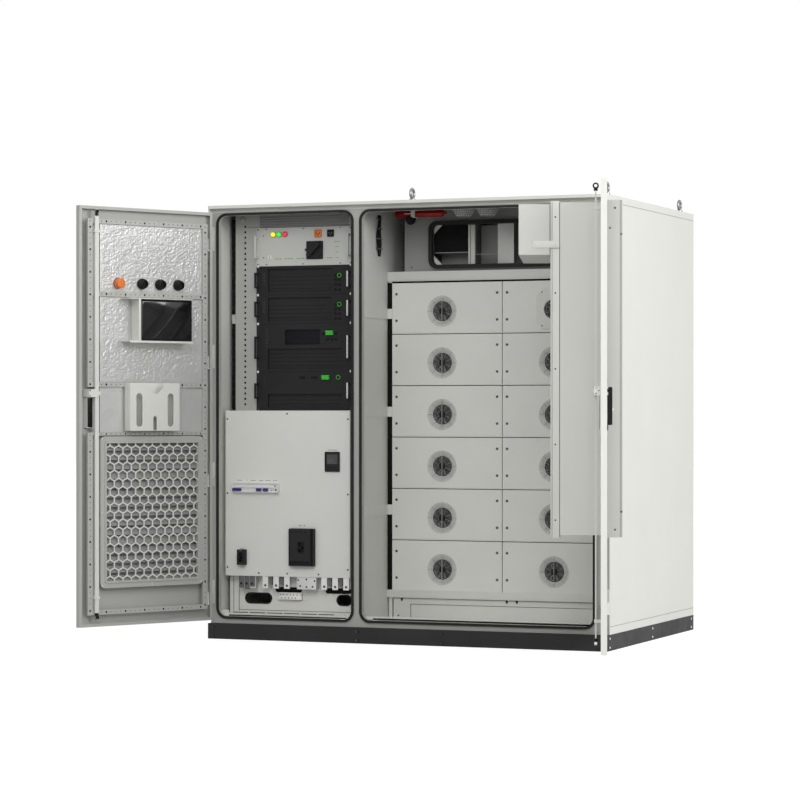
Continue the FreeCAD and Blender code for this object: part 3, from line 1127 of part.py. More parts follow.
def make_pocket(hinge):
    """Open-topped document pocket with a thumb notch and two long slots in its front."""
    start = "door_face + rail_thick"
    shell = on_door("left", "pocket_outer", "pocket_near", "pocket_wide", start, "pocket_deep", "pocket_low",
                    "pocket_high")
    room = on_door("left", "pocket_room", "pocket_near + pocket_wall", "pocket_wide - 2 * pocket_wall",
                   start + " + pocket_wall", "pocket_deep - 2 * pocket_wall", "pocket_low + pocket_wall",
                   "pocket_high")
    notch = bar("pocket_notch", ("pocket_near + pocket_wide / 2",
                                 start + " + pocket_deep - pocket_wall - past",
                                 "pocket_low + pocket_high"), "pocket_notch", "pocket_wall + 2 * past",
                                 ALONG_Y)
    slots = [on_door("left", f"pocket_slot_{number}", near, "pocket_slot",
                     start + " + pocket_deep - pocket_wall - past",
                     "pocket_wall + 2 * past", "pocket_low + pocket_wall + pocket_slot / 2",
                     "pocket_slot_high")
             for number, near in enumerate(("pocket_near + pocket_slot",
                                            "pocket_near + pocket_wide - 2 * pocket_slot"))]
    keep("document_pocket", cut("pocket_cut", shell, [room, notch] + slots), hinge, "-left_open")


def make_buttons(hinge):
    """Round switch bodies behind the door, three lamp lenses, and the stop button that travels."""
    bodies = []
    for number, x in enumerate(("button_first", "button_second", "button_third", "button_fourth")):
        body = bar(f"button_body_{number}", (x, "door_sheet - hinge_step", "button_high"), "button_radius",
                   "door_thick - door_sheet + wool_proud + button_body", ALONG_Y)
        flange = bar(f"button_flange_{number}", (x, "-hinge_step - button_seat", "button_high"),
                     "button_radius", "button_seat", ALONG_Y)
        neck = bar(f"button_neck_{number}", (x, "-hinge_step - past", "button_high"), "button_neck",
                   "door_sheet + 2 * past", ALONG_Y)
        whole = fuse(f"button_{number}", [body, flange, neck])
        if number == 0:
            well = bar("stop_well", (x, "-hinge_step - button_seat - past", "button_high"),
                       "stop_stem + running_gap",
                       "button_seat + button_well + past", ALONG_Y)
            whole = cut("stop_body", whole, [well])
        else:
            lens = cone(f"lens_{number}", (x, "-hinge_step - button_seat - lens_out", "button_high"),
                        "lens_radius - lens_taper", "lens_radius", "lens_out", ALONG_Y)
            whole = fuse(f"lamp_button_{number}", [whole, lens])
        bodies.append(whole)
    keep("door_switches", group("door_switch_group", bodies), hinge, "-left_open")
    stem = bar("stop_stem_bar", ("button_first", "-hinge_step - button_seat - button_travel - stop_joint",
                                 "button_high"),
               "stop_stem", "button_seat + stop_joint + button_well - stop_slack", ALONG_Y)
    head = cone("stop_head", ("button_first",
                              "-hinge_step - button_seat - button_travel - stop_slack - button_head",
                              "button_high"),
                "button_head_radius - head_taper", "button_head_radius", "button_head", ALONG_Y)
    keep("stop_button", fuse("stop_mushroom", [stem, head]), hinge, "-left_open")


def make_right_door():
    """Right door: folded sheet cut for the cooler, with the cooler, its cover and its air nozzle."""
    hinge = ("right_hinge_x", "hinge_y", "0")
    window = on_door("right", "cooler_window", "cooler_near - cooler_fit", "cooler_wide + 2 * cooler_fit",
                     "-hinge_step - past", "door_sheet + 2 * past", "cooler_low - cooler_fit",
                     "cooler_top - cooler_low + 2 * cooler_fit")
    keep("right_door", door_tray("right", "right_door", [window, spindle_bore("right", "right_rod"),
                                                         dish_window("right", "right_rod")]), hinge,
                                                         "right_open")
    core = on_door("right", "cooler_core", "cooler_near", "cooler_wide", "-hinge_step - cooler_out",
                   "hinge_step + cooler_out + cover_y", "cooler_low", "cooler_top - cooler_low")
    rim = on_door("right", "cooler_rim", "cooler_near - cooler_rim", "cooler_wide + 2 * cooler_rim",
                  "-hinge_step - door_sheet", "door_sheet", "cooler_low - cooler_rim",
                  "cooler_top - cooler_low + 2 * cooler_rim")
    cap = on_door("right", "cooler_cap", "cooler_near - cooler_rim / 2", "cooler_wide + cooler_rim",
                  "-hinge_step - cooler_out - cooler_flange", "cooler_flange", "cooler_low - cooler_rim / 2",
                  "cooler_top - cooler_low + cooler_rim")
    grille = []
    for number in range(int(size("(cooler_top - cooler_low - 2 * grille_inset) / grille_pitch"))):
        if number % 2 == 0 or number < grille_rows_half():
            grille.append(on_door("right", f"grille_slot_{number}", "cooler_near + grille_inset",
                                  "cooler_wide - 2 * grille_inset",
                                  "-hinge_step - cooler_out - cooler_flange - past",
                                  "grille_deep + past",
                                  f"cooler_low + grille_inset + {number} * grille_pitch", "grille_slot"))
    cover = on_door("right", "cooler_inner_cover", "cooler_near", "cooler_wide", "cover_y", "cooler_cover",
                    "cooler_low - cooler_rim", "cooler_top - cooler_low + cover_past")
    cooler = fuse("cooler_body", [core, rim, cut("cooler_cap_cut", cap, grille)])
    keep("air_cooler", group("cooler_group", [cooler, cover]), hinge, "right_open")
    near = "cooler_centre - nozzle_wide / 2"
    hood = on_door("right", "nozzle_outer", near, "nozzle_wide", "nozzle_y", "nozzle_deep", "nozzle_low",
                   "nozzle_top - nozzle_low")
    mouth = on_door("right", "nozzle_mouth", near + " + nozzle_wall", "nozzle_wide - 2 * nozzle_wall",
                    "nozzle_y + nozzle_wall", "nozzle_deep", "nozzle_low + nozzle_wall",
                    "nozzle_top - nozzle_low - 2 * nozzle_wall")
    keep("air_nozzle", cut("nozzle_cut", hood, [mouth]), hinge, "right_open")
    make_latch("right", "right_rod")


def grille_rows_half():
    """How many of the grille's rows are set close together."""
    return int(size("(cooler_top - cooler_low - 2 * grille_inset) / grille_pitch / 2"))


def build():
    """Make every sub-part, check it and write it out."""
    for make in (make_plinth, make_base, make_front_frame, make_gaskets, make_shell, make_lifting_eyes,
                 make_rack_frame, make_inverter, make_battery_rack, make_packs, make_rotors, make_guards,
                 make_duct, make_safety, make_hinges, make_left_door, make_right_door):
        make()
    make_switch_fittings(make_rack_units())
    doc.recompute()
    faults = [item.Name for item in doc.Objects if {"Invalid", "Error"} & set(item.State)]
    for label, item in parts.items():
        if item.Shape.isNull() or not item.Shape.isValid() or not item.Shape.Solids:
            faults.append(label)
    if faults:
        raise RuntimeError("these failed: " + ", ".join(faults))
    os.makedirs("parts", exist_ok=True)
    for label, item in parts.items():
        item.Shape.exportStep(f"parts/{label}.step")
    print(len(parts), "sub-parts written")


build()
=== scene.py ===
# %% [markdown]
# # A battery cabinet with its doors open
#
# The object is an outdoor cabinet nearly two metres wide. Its left bay holds a rack
# of electronics over a power converter, and its right bay holds twelve battery packs.
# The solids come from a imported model, and this file dresses them: it gives every
# solid a finish, and adds the pieces that are too fine for the solids.
#
# The first cell loads the model. Each solid keeps its place, so a new piece only
# needs the same measures to land where it belongs.

import math

import bmesh
import bpy
import numpy as np
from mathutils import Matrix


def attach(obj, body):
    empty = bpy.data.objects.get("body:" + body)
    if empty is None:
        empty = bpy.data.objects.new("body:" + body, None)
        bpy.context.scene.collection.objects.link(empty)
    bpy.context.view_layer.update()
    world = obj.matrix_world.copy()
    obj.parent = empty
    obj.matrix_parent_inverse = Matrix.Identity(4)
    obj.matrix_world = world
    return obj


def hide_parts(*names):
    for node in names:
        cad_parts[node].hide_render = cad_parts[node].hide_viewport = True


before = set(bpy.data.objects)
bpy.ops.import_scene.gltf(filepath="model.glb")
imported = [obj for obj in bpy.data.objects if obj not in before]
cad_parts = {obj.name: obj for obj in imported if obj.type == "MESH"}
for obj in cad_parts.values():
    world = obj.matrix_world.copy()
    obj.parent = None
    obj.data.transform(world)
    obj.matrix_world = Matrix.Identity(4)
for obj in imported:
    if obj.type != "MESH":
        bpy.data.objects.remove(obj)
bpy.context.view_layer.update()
scene = bpy.context.scene

# %% [markdown]
# ## Two ways to measure
#
# A cabinet maker measures from the left front corner of the plinth, in millimetres,
# and measures a door from its own hinge line while it is shut. Both are easier to
# read than metres from the middle of the footprint. So each piece is worked out in
# those measures, and is brought into the model's metres in one place.

# %% Cabinet and door measures
CABINET = np.array([1926.0, 1356.0, 1993.0])
HINGES = {"left": (6.0, 4.0, -117.8), "right": (1920.0, 4.0, 107.8)}
DOOR_FACE = 21.0


def metres(points):
    """Cabinet millimetres to model metres: take away half the footprint, then divide by 1000."""
    return (np.asarray(points, float) - [CABINET[0] / 2, CABINET[1] / 2, 0]) / 1000


def hung(points, side):
    """A shut door's own millimetres to cabinet millimetres: turn about the hinge line, then add its place."""
    x, y, degrees = HINGES[side]
    points = np.asarray(points, float)
    if side == "right":
        points = points * [-1, 1, 1]
    turn = math.radians(degrees)
    spun = np.stack([points[:, 0] * math.cos(turn) - points[:, 1] * math.sin(turn),
                     points[:, 0] * math.sin(turn) + points[:, 1] * math.cos(turn),
                     points[:, 2]], 1)
    return spun + [x, y, 0]


print("left door's free edge, in cabinet mm:", hung([[729, 0, 0]], "left").round(1))

# %% [markdown]
# ## The camera
#
# The cabinet was looked at from its right, at the height of a person's chest, with a
# long lens and no tilt. The height of the eye is where level lines stay level, and a
# small shift of the lens keeps the uprights upright. The camera comes first, because
# every later choice is judged through it.

# %% Camera
eye = bpy.data.cameras.new("eye")
eye.sensor_width = 36.0
eye.lens = 125.14
eye.shift_y = 0.01704
eye_object = bpy.data.objects.new("eye", eye)
eye_object.location = (4.66137, -12.22406, 1.03605)
eye_object.rotation_euler = (math.radians(90), 0, math.radians(22.02))
scene.collection.objects.link(eye_object)
scene.camera = eye_object
print("camera lens", eye.lens, "mm, height", eye_object.location.z, "m")

# %% [markdown]
# ## Light and floor
#
# The background is plain white. If lamps made it white, they would burn out the pale
# paint too. So the world and the floor are white only for rays that come straight
# from the camera or by a reflection, while the paint is lit by a soft grey dome that
# is darker below, and by two large soft boxes, one to the right and one overhead.


# %% World
def wire(tree, source, target):
    """Join two sockets of a node tree."""
    tree.links.new(source, target)


def node(tree, kind, **values):
    """Add a node of a kind, and set its inputs by name or number."""
    made = tree.nodes.new(kind)
    for key, value in values.items():
        made.inputs[key.replace("_", " ")].default_value = value
    return made


def seen_directly(tree):
    """One where a ray comes from the camera, a mirror or glass, and none where it lights a surface."""
    path = tree.nodes.new("ShaderNodeLightPath")
    first = tree.nodes.new("ShaderNodeMath")
    first.operation = "MAXIMUM"
    wire(tree, path.outputs["Is Camera Ray"], first.inputs[0])
    wire(tree, path.outputs["Is Glossy Ray"], first.inputs[1])
    second = tree.nodes.new("ShaderNodeMath")
    second.operation = "MAXIMUM"
    wire(tree, first.outputs[0], second.inputs[0])
    wire(tree, path.outputs["Is Transmission Ray"], second.inputs[1])
    return second.outputs[0]


scene.view_settings.view_transform = "Standard"
DOME_LOW = (0.20, 0.20, 0.205, 1)
DOME_HIGH = (0.78, 0.78, 0.775, 1)
world = bpy.data.worlds.new("studio")
scene.world = world
world.use_nodes = True
tree = world.node_tree
tree.nodes.clear()
way = tree.nodes.new("ShaderNodeTexCoord")
height = tree.nodes.new("ShaderNodeSeparateXYZ")
wire(tree, way.outputs["Generated"], height.inputs[0])
rise = node(tree, "ShaderNodeMapRange", From_Min=-0.25, From_Max=0.7)
wire(tree, height.outputs["Z"], rise.inputs["Value"])
dome_colour = tree.nodes.new("ShaderNodeMix")
dome_colour.data_type = "RGBA"
dome_colour.inputs[6].default_value = DOME_LOW
dome_colour.inputs[7].default_value = DOME_HIGH
wire(tree, rise.outputs[0], dome_colour.inputs[0])
dome = node(tree, "ShaderNodeBackground", Strength=1.0)
wire(tree, dome_colour.outputs[2], dome.inputs["Color"])
white = node(tree, "ShaderNodeBackground", Color=(1, 1, 1, 1), Strength=1.0)
choice = tree.nodes.new("ShaderNodeMixShader")
wire(tree, seen_directly(tree), choice.inputs[0])
wire(tree, dome.outputs[0], choice.inputs[1])
wire(tree, white.outputs[0], choice.inputs[2])
wire(tree, choice.outputs[0], tree.nodes.new("ShaderNodeOutputWorld").inputs[0])


# %% Lamps
def soft_box(name, place, aim, wide, high, power):
    """A rectangular lamp at a place, turned to look at a point."""
    lamp = bpy.data.lights.new(name, "AREA")
    lamp.shape = "RECTANGLE"
    lamp.size = wide
    lamp.size_y = high
    lamp.energy = power
    holder = bpy.data.objects.new(name, lamp)
    holder.location = place
    forward = np.array(aim, float) - np.array(place, float)
    level = math.hypot(forward[0], forward[1])
    holder.rotation_euler = (math.atan2(level, -forward[2]), 0, math.atan2(-forward[0], forward[1]))
    scene.collection.objects.link(holder)
    print("lamp", name, "at", place, "with", power, "W")


soft_box("right_box", (7.5, -3.2, 3.2), (0.4, 0.0, 1.0), 4.0, 4.0, 330)
soft_box("front_box", (2.2, -7.5, 4.6), (0.0, 0.0, 1.0), 4.0, 3.0, 150)

# %% Floor
floor_mesh = bpy.data.meshes.new("floor")
floor_mesh.from_pydata([(-40, -40, 0), (40, -40, 0), (40, 40, 0), (-40, 40, 0)], [], [(0, 1, 2, 3)])
floor = bpy.data.objects.new("floor", floor_mesh)
scene.collection.objects.link(floor)
floor_paint = bpy.data.materials.new("floor_paint")
floor_paint.use_nodes = True
tree = floor_paint.node_tree
tree.nodes.clear()
matt = node(tree, "ShaderNodeBsdfDiffuse", Color=(0.40, 0.40, 0.40, 1))
glow = node(tree, "ShaderNodeEmission", Color=(1, 1, 1, 1), Strength=0.80)
both = tree.nodes.new("ShaderNodeAddShader")
wire(tree, matt.outputs[0], both.inputs[0])
wire(tree, glow.outputs[0], both.inputs[1])
choice = tree.nodes.new("ShaderNodeMixShader")
wire(tree, seen_directly(tree), choice.inputs[0])
wire(tree, matt.outputs[0], choice.inputs[1])
wire(tree, both.outputs[0], choice.inputs[2])
wire(tree, choice.outputs[0], tree.nodes.new("ShaderNodeOutputMaterial").inputs[0])
floor.data.materials.append(floor_paint)

# %% [markdown]
# ## Finishes
#
# A real finish is never one flat colour. Powder coat has a skin like fine orange
# peel and drifts a little in tone, rubber is dusty, and foil is creased. All of
# these can be made from noise that is read in the object's own coordinates, so the
# pattern stays on the metal when a door swings. One helper builds the common case: a
# drifting colour, an uneven gloss and a fine bump.


# %% Finish helper
def even(red, green, blue):
    """A colour with its fourth number, for a socket."""
    return (red, green, blue, 1.0)


def noise(tree, coordinates, scale, detail=3.0, rough=0.55):
    """A noise texture of so many cells to the metre."""
    made = node(tree, "ShaderNodeTexNoise", Scale=scale, Detail=detail, Roughness=rough)
    wire(tree, coordinates, made.inputs["Vector"])
    return made.outputs["Factor" if "Factor" in made.outputs else "Fac"]


def ramp(tree, value, stops):
    """A colour that runs from stop to stop as a value grows."""
    made = tree.nodes.new("ShaderNodeValToRGB")
    band = made.color_ramp
    for place, colour in stops[2:]:
        band.elements.new(place)
    for element, (place, colour) in zip(band.elements, stops):
        element.position = place
        element.color = colour
    wire(tree, value, made.inputs[0])
    return made.outputs[0]


def stretch(tree, value, low, high):
    """A value from a third to two thirds, stretched to run from low to high."""
    made = node(tree, "ShaderNodeMapRange", From_Min=0.33, From_Max=0.67, To_Min=low, To_Max=high)
    wire(tree, value, made.inputs["Value"])
    return made.outputs[0]


def shade(colour, factor):
    """A colour made lighter or darker by a factor."""
    return even(*(min(1.0, part * factor) for part in colour))


def finish(name, colour, gloss, drift=0.04, drift_cells=2.5, grain=0.0002, grain_cells=700, metal=0.0,
           strength=0.35, coat=0.0, shine=0.5):
    """A finish: colour drifts by a share either way, gloss a little, and a fine noise makes the bump."""
    material = bpy.data.materials.new(name)
    material.use_nodes = True
    tree = material.node_tree
    surface = tree.nodes["Principled BSDF"]
    place = tree.nodes.new("ShaderNodeTexCoord").outputs["Object"]
    slow = noise(tree, place, drift_cells)
    wire(tree, ramp(tree, slow, [(0.3, shade(colour, 1 - drift)), (0.7, shade(colour, 1 + drift))]),
         surface.inputs["Base Color"])
    wire(tree, stretch(tree, noise(tree, place, drift_cells * 6), gloss - 0.05, gloss + 0.05),
         surface.inputs["Roughness"])
    bump = node(tree, "ShaderNodeBump", Strength=strength, Distance=grain)
    wire(tree, noise(tree, place, grain_cells, 2.0), bump.inputs["Height"])
    wire(tree, bump.outputs[0], surface.inputs["Normal"])
    surface.inputs["Metallic"].default_value = metal
    surface.inputs["Coat Weight"].default_value = coat
    surface.inputs["Specular IOR Level"].default_value = shine
    return material


# %% Paints, metals, rubbers and plastics
PALE = (0.745, 0.750, 0.705)
finishes = {
    "cabinet_paint": finish("cabinet_paint", PALE, 0.48, drift=0.018),
    # A darker copy of the cabinet paint: painted shade for parts that stand in shade.
    "cabinet_paint_in_shade": finish("cabinet_paint_in_shade", (0.47, 0.473, 0.445), 0.5, drift=0.02),
    "inner_paint": finish("inner_paint", (0.72, 0.725, 0.69), 0.52, drift=0.03),
    "module_paint": finish("module_paint", (0.63, 0.635, 0.60), 0.5, drift=0.02),
    "cover_paint": finish("cover_paint", (0.84, 0.845, 0.80), 0.48, drift=0.02),
    # A dark grey: painted shadow for sheets deep in shade, and also the colour of a few dark seams.
    "shadow_and_seam_paint": finish("shadow_and_seam_paint", (0.30, 0.305, 0.295), 0.55, drift=0.05),
    # Near black: painted shade for the ceiling.
    "ceiling_shade_black": finish("ceiling_shade_black", (0.035, 0.035, 0.037), 0.85, drift=0.2, grain=0.001,
                          grain_cells=400),
    "pack_case": finish("pack_case", (0.78, 0.79, 0.745), 0.46, drift=0.025, drift_cells=4),
    "cooler_case": finish("cooler_case", (0.70, 0.705, 0.665), 0.5, drift=0.02),
    "plinth_paint": finish("plinth_paint", (0.042, 0.042, 0.043), 0.55, drift=0.12, grain=0.0004,
                           grain_cells=450, shine=0.12),
    "dark_case": finish("dark_case", (0.026, 0.026, 0.028), 0.5, drift=0.12, grain=0.0003, grain_cells=900,
                        shine=0.12),
    "dark_floor": finish("dark_floor", (0.011, 0.011, 0.013), 0.6, drift=0.15, shine=0.1),
    "black_plastic": finish("black_plastic", (0.008, 0.008, 0.009), 0.42, drift=0.2, grain_cells=1500,
                            shine=0.15),
    "grey_plastic": finish("grey_plastic", (0.13, 0.13, 0.135), 0.5, drift=0.1, grain_cells=1500),
    "seal_rubber": finish("seal_rubber", (0.022, 0.022, 0.020), 0.75, drift=0.25, grain=0.0004,
                          grain_cells=1200, shine=0.2),
    "bright_steel": finish("bright_steel", (0.62, 0.62, 0.60), 0.32, drift=0.06, metal=1.0,
                           grain_cells=2000),
    "dark_steel": finish("dark_steel", (0.10, 0.10, 0.10), 0.35, drift=0.15, metal=1.0, grain_cells=2000),
    "dull_zinc": finish("dull_zinc", (0.30, 0.30, 0.30), 0.22, drift=0.08, metal=1.0, strength=0.15),
    "tinned_copper": finish("tinned_copper", (0.66, 0.65, 0.62), 0.38, drift=0.06, metal=0.6,
                            grain_cells=1500),
    "red_paint": finish("red_paint", (0.30, 0.002, 0.003), 0.35, drift=0.12, coat=0.1, shine=0.2),
    "orange_plastic": finish("orange_plastic", (0.80, 0.19, 0.02), 0.4, drift=0.06, coat=0.2),
    "red_plastic": finish("red_plastic", (0.55, 0.012, 0.012), 0.35, drift=0.08, coat=0.3),
    "white_plastic": finish("white_plastic", (0.82, 0.82, 0.81), 0.42, drift=0.02, grain_cells=1500),
    "blue_plastic": finish("blue_plastic", (0.035, 0.030, 0.22), 0.4, drift=0.1, grain_cells=1500),
    "green_plastic": finish("green_plastic", (0.05, 0.62, 0.03), 0.4, drift=0.1, grain_cells=1500),
    "screen_glass": finish("screen_glass", (0.006, 0.006, 0.007), 0.12, drift=0.3, strength=0.05, coat=0.5),
    "green_ink": finish("green_ink", (0.10, 0.50, 0.07), 0.5, drift=0.08),
    "dark_ink": finish("dark_ink", (0.010, 0.010, 0.010), 0.6, drift=0.1, shine=0.05),
    "guard_wire": finish("guard_wire", (0.42, 0.42, 0.41), 0.35, drift=0.06, metal=0.3),
}


def glowing(name, colour, power):
    """A lamp lens: tinted plastic whose glow drifts a little from place to place."""
    material = finish(name, colour, 0.25, drift=0.08, drift_cells=60, coat=0.4)
    surface = material.node_tree.nodes["Principled BSDF"]
    surface.inputs["Emission Color"].default_value = even(*colour)
    place = material.node_tree.nodes.new("ShaderNodeTexCoord").outputs["Object"]
    glow_drift = stretch(material.node_tree, noise(material.node_tree, place, 150), 0.8 * power,
                         1.2 * power)
    wire(material.node_tree, glow_drift, surface.inputs["Emission Strength"])
    return material


# %% Slots
SLOTS = {"seal_rubber": "seal", "ceiling_shade_black": "seal", "filter_fleece": "filter", "foil": "foil_wool"}
SLOTS |= dict.fromkeys(("cabinet_paint_in_shade", "inner_paint", "shadow_and_seam_paint", "green_ink"), "cabinet_paint")
SLOTS |= dict.fromkeys(("cover_paint", "grey_plastic", "white_plastic"), "module_paint")
SLOTS |= dict.fromkeys(("dark_steel", "dull_zinc", "guard_wire"), "bright_steel")
SLOTS |= dict.fromkeys(("dark_floor", "blue_plastic", "green_plastic", "screen_glass", "dark_ink"),
                       "black_plastic")
SLOTS |= dict.fromkeys(("orange_plastic", "yellow_lamp", "green_lamp", "red_lamp"), "red_plastic")

# %% Lamp lenses
finishes["yellow_lamp"] = glowing("yellow_lamp", (0.95, 0.85, 0.02), 0.6)
finishes["green_lamp"] = glowing("green_lamp", (0.05, 0.85, 0.06), 0.5)
finishes["red_lamp"] = glowing("red_lamp", (0.80, 0.01, 0.03), 0.5)

# %% [markdown]
# ### Foil and filter fleece
#
# The foil on the door's insulation keeps its creases in the mesh, and the material
# only adds the fine ones. Filter fleece is matted fibre: noise drawn out one way.


# %% Foil and fleece
def fibres(name, colour, gloss, cells, squash):
    """Matted fibre: noise squeezed along one way, so that it reads as threads."""
    material = finish(name, colour, gloss, grain=0.001)
    tree = material.node_tree
    surface = tree.nodes["Principled BSDF"]
    place = tree.nodes.new("ShaderNodeTexCoord").outputs["Object"]
    thread = tree.nodes.new("ShaderNodeMapping")
    thread.inputs["Scale"].default_value = squash
    wire(tree, place, thread.inputs["Vector"])
    value = noise(tree, thread.outputs[0], cells, 4.0)
    wire(tree, ramp(tree, value, [(0.3, shade(colour, 0.6)), (0.7, shade(colour, 1.3))]),
         surface.inputs["Base Color"])
    return material


finishes["filter_fleece"] = fibres("filter_fleece", (0.30, 0.305, 0.295), 0.9, 260, (1, 1, 5))
finishes["foil"] = finish("foil", (0.60, 0.60, 0.59), 0.38, drift=0.05, grain=0.0012, grain_cells=170,
                          metal=0.35, strength=0.5)
print("finishes:", len(finishes))

# %% [markdown]
# ## Dressing the solids
#
# Most solids already have the right shape and only need a finish. The table below
# gives each one, and everything that it doesn't name is sheet metal in cabinet paint.

# %% Finish of each solid
WEARERS = {
    # The front frame, the left door and the rack rails wear the darker copy of the cabinet paint: painted
    # shade.
    "cabinet_paint_in_shade": "front_frame left_door rack_rails",
    "plinth_paint": "plinth",
    "seal_rubber": "gaskets",
    "dull_zinc": "lifting_eyes",
    "inner_paint": "battery_rack partition inverter",
    "dark_case": "module_4u module_5u modules_3u breakers switch_knob",
    # The air nozzle wears the darker module paint as painted shade.
    "module_paint": "switch_panel air_nozzle document_pocket",
    "cover_paint": "inverter_covers",
    "black_plastic": "main_breaker_lever small_breaker_lever fan_guards left_handle right_handle "
                     "door_switches panel_fittings display_unit",
    "tinned_copper": "terminals",
    "pack_case": "left_packs right_packs",
    # The duct box wears the dark grey as painted shadow.
    "shadow_and_seam_paint": "duct_box",
    "red_paint": "fire_fittings",
    "cooler_case": "air_cooler",
    "red_plastic": "stop_button",
    "foil": "door_insulation",
    "filter_fleece": "air_filter",
}
SOLID_FINISH = {name: finish_name for finish_name, names in WEARERS.items() for name in names.split()}


def dress(name, finish_name):
    """Put one finish on a solid in place of what it came with."""
    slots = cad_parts[name].data.materials
    slots.clear()
    slots.append(finishes[finish_name])


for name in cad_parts:
    chosen = "black_plastic" if name.startswith("fan_rotor") else SOLID_FINISH.get(name, "cabinet_paint")
    dress(name, chosen)
print("solids dressed:", len(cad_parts))

# %% [markdown]
# ## Shapes from rings
#
# Nearly everything in this cabinet is either pushed out, like a folded plate, or
# turned, like a screw. Both are one thing to the computer: a row of rings with the
# same number of points, joined to each other. The outline is one parameter of the
# surface and the row of rings is the other, so whole shapes are arrays.


# %% Rings into faces
def skin(rings, wrap=False, caps=True):
    """Join each ring to the next by quads, close the ends by one face each, and turn the faces outwards."""
    rings = np.asarray(rings, float)
    rows, count = rings.shape[:2]
    index = np.arange(rows * count).reshape(rows, count)
    low = index if wrap else index[:-1]
    high = np.roll(index, -1, 0) if wrap else index[1:]
    faces = np.stack([low, np.roll(low, -1, 1), np.roll(high, -1, 1), high], -1).reshape(-1, 4).tolist()
    if caps and not wrap:
        faces += [index[0, ::-1].tolist(), index[-1].tolist()]
    return outward((rings.reshape(-1, 3), faces))


def outward(shape):
    """Turn all faces over where the volume they enclose, a sum of triple products, comes out negative."""
    points, faces = shape
    fans = np.array([(face[0], face[k], face[k + 1]) for face in faces for k in range(1, len(face) - 1)])
    first, second, third = points[fans[:, 0]], points[fans[:, 1]], points[fans[:, 2]]
    volume = np.einsum("ij,ij->i", first, np.cross(second, third)).sum()
    return (points, [face[::-1] for face in faces]) if volume < 0 else (points, faces)


def together(shapes):
    """Several shapes as one: each face's numbers move on by the points before it."""
    starts = np.cumsum([0] + [len(points) for points, faces in shapes])
    faces = [[corner + int(start) for corner in face] for start, shape in zip(starts, shapes)
             for face in shape[1]]
    return np.concatenate([shape[0] for shape in shapes]), faces


def repeated(shape, places):
    """The same shape at many places: every place is added to every point."""
    return together([(shape[0] + np.asarray(place, float), shape[1]) for place in places])


# %% Outlines
def round_outline(wide, high, radius, steps=4):
    """A rectangle with round corners, anticlockwise: a quarter circle about the middle of each corner."""
    angles = np.radians(np.concatenate([np.linspace(90 * k, 90 * k + 90, steps + 1) for k in range(4)]))
    ways = np.stack([np.cos(angles), np.sin(angles)], 1)
    sides = np.repeat([[1, 1], [-1, 1], [-1, -1], [1, -1]], steps + 1, 0)
    return sides * [wide / 2 - radius, high / 2 - radius] + radius * ways, ways


def circle_outline(radius, sides=24):
    """Points at even angles round a circle."""
    angles = np.linspace(0, 2 * math.pi, sides, endpoint=False)
    ways = np.stack([np.cos(angles), np.sin(angles)], 1)
    return radius * ways, ways


# %% Plates, frames and turned pieces
def layers(outline, ways, x, z, rows):
    """Rings standing across the depth: each row is a depth and how far the outline is drawn in."""
    rows = np.asarray(rows, float)
    flat = outline[None] - rows[:, 1, None, None] * ways[None]
    depth = np.broadcast_to(rows[:, :1], flat.shape[:2])
    return np.stack([flat[..., 0] + x, depth, flat[..., 1] + z], -1)


def plate(x0, x1, z0, z1, near, far, radius=1.0, edge=0.8, steps=3):
    """A flat piece between two depths, its outline rounded and its edges eased by a quarter circle each."""
    outline, ways = round_outline(x1 - x0, z1 - z0, max(radius, edge), steps)
    ease = np.radians([0, 45, 90])
    inset, sink = edge * (1 - np.sin(ease)), edge * (1 - np.cos(ease))
    rows = [(near + s, i) for s, i in zip(sink, inset)] + [(far - s, i) for s,
                                                           i in zip(sink[::-1], inset[::-1])]
    return skin(layers(outline, ways, (x0 + x1) / 2, (z0 + z1) / 2, rows))


def rim(x0, x1, z0, z1, wall, near, far, radius=4.0, edge=0.6, steps=4):
    """A picture frame: its section is a small rectangle with eased corners, carried round the outline."""
    outline, ways = round_outline(x1 - x0, z1 - z0, max(radius, wall + 0.1), steps)
    section = [(near, edge), (near + edge, 0), (far - edge, 0), (far, edge),
               (far, wall - edge), (far - edge, wall), (near + edge, wall), (near, wall - edge)]
    return skin(layers(outline, ways, (x0 + x1) / 2, (z0 + z1) / 2, section), wrap=True)


def turned(x, z, rows, sides=20):
    """A turned piece lying along the depth: each row is a depth and a radius."""
    rows = np.asarray(rows, float)
    circle, ways = circle_outline(1.0, sides)
    flat = circle[None] * np.maximum(rows[:, 1], 0.01)[:, None, None]
    depth = np.broadcast_to(rows[:, :1], flat.shape[:2])
    return skin(np.stack([flat[..., 0] + x, depth, flat[..., 1] + z], -1))


def turned_up(x, y, rows, sides=24):
    """A turned piece standing up: each row is a height and a radius."""
    points, faces = turned(0, 0, rows, sides)
    return outward((points[:, [0, 2, 1]] + [x, y, 0], faces))


def swapped(shape, order, shift=(0, 0, 0)):
    """A shape with its axes exchanged and then moved, its faces turned outwards again."""
    return outward((shape[0][:, list(order)] + np.asarray(shift, float), shape[1]))


def tube(path, radius, sides=8, closed=False):
    """A round bar along a path: at each point a circle stands across the path's direction."""
    path = np.asarray(path, float)
    ahead = np.roll(path, -1, 0) - np.roll(path, 1, 0)
    if not closed:
        ahead[0], ahead[-1] = path[1] - path[0], path[-1] - path[-2]
    ahead /= np.linalg.norm(ahead, axis=1, keepdims=True)
    flatness = np.linalg.svd(path - path.mean(0))[2][-1]
    side = np.cross(ahead, flatness)
    side /= np.linalg.norm(side, axis=1, keepdims=True)
    angles = np.linspace(0, 2 * math.pi, sides, endpoint=False)
    rings = (path[:, None] + radius * np.cos(angles)[None, :, None] * side[:, None]
             + radius * np.sin(angles)[None, :, None] * flatness)
    return skin(rings, wrap=closed, caps=not closed)


# %% [markdown]
# ### Sheets with holes
#
# A perforated strip is a row of tiles. Each tile is a ring from its own border to
# the edge of its hole, in front, through and behind. The outer wall is only made
# where a tile's border lies on the border of the whole strip, so the sheet closes.


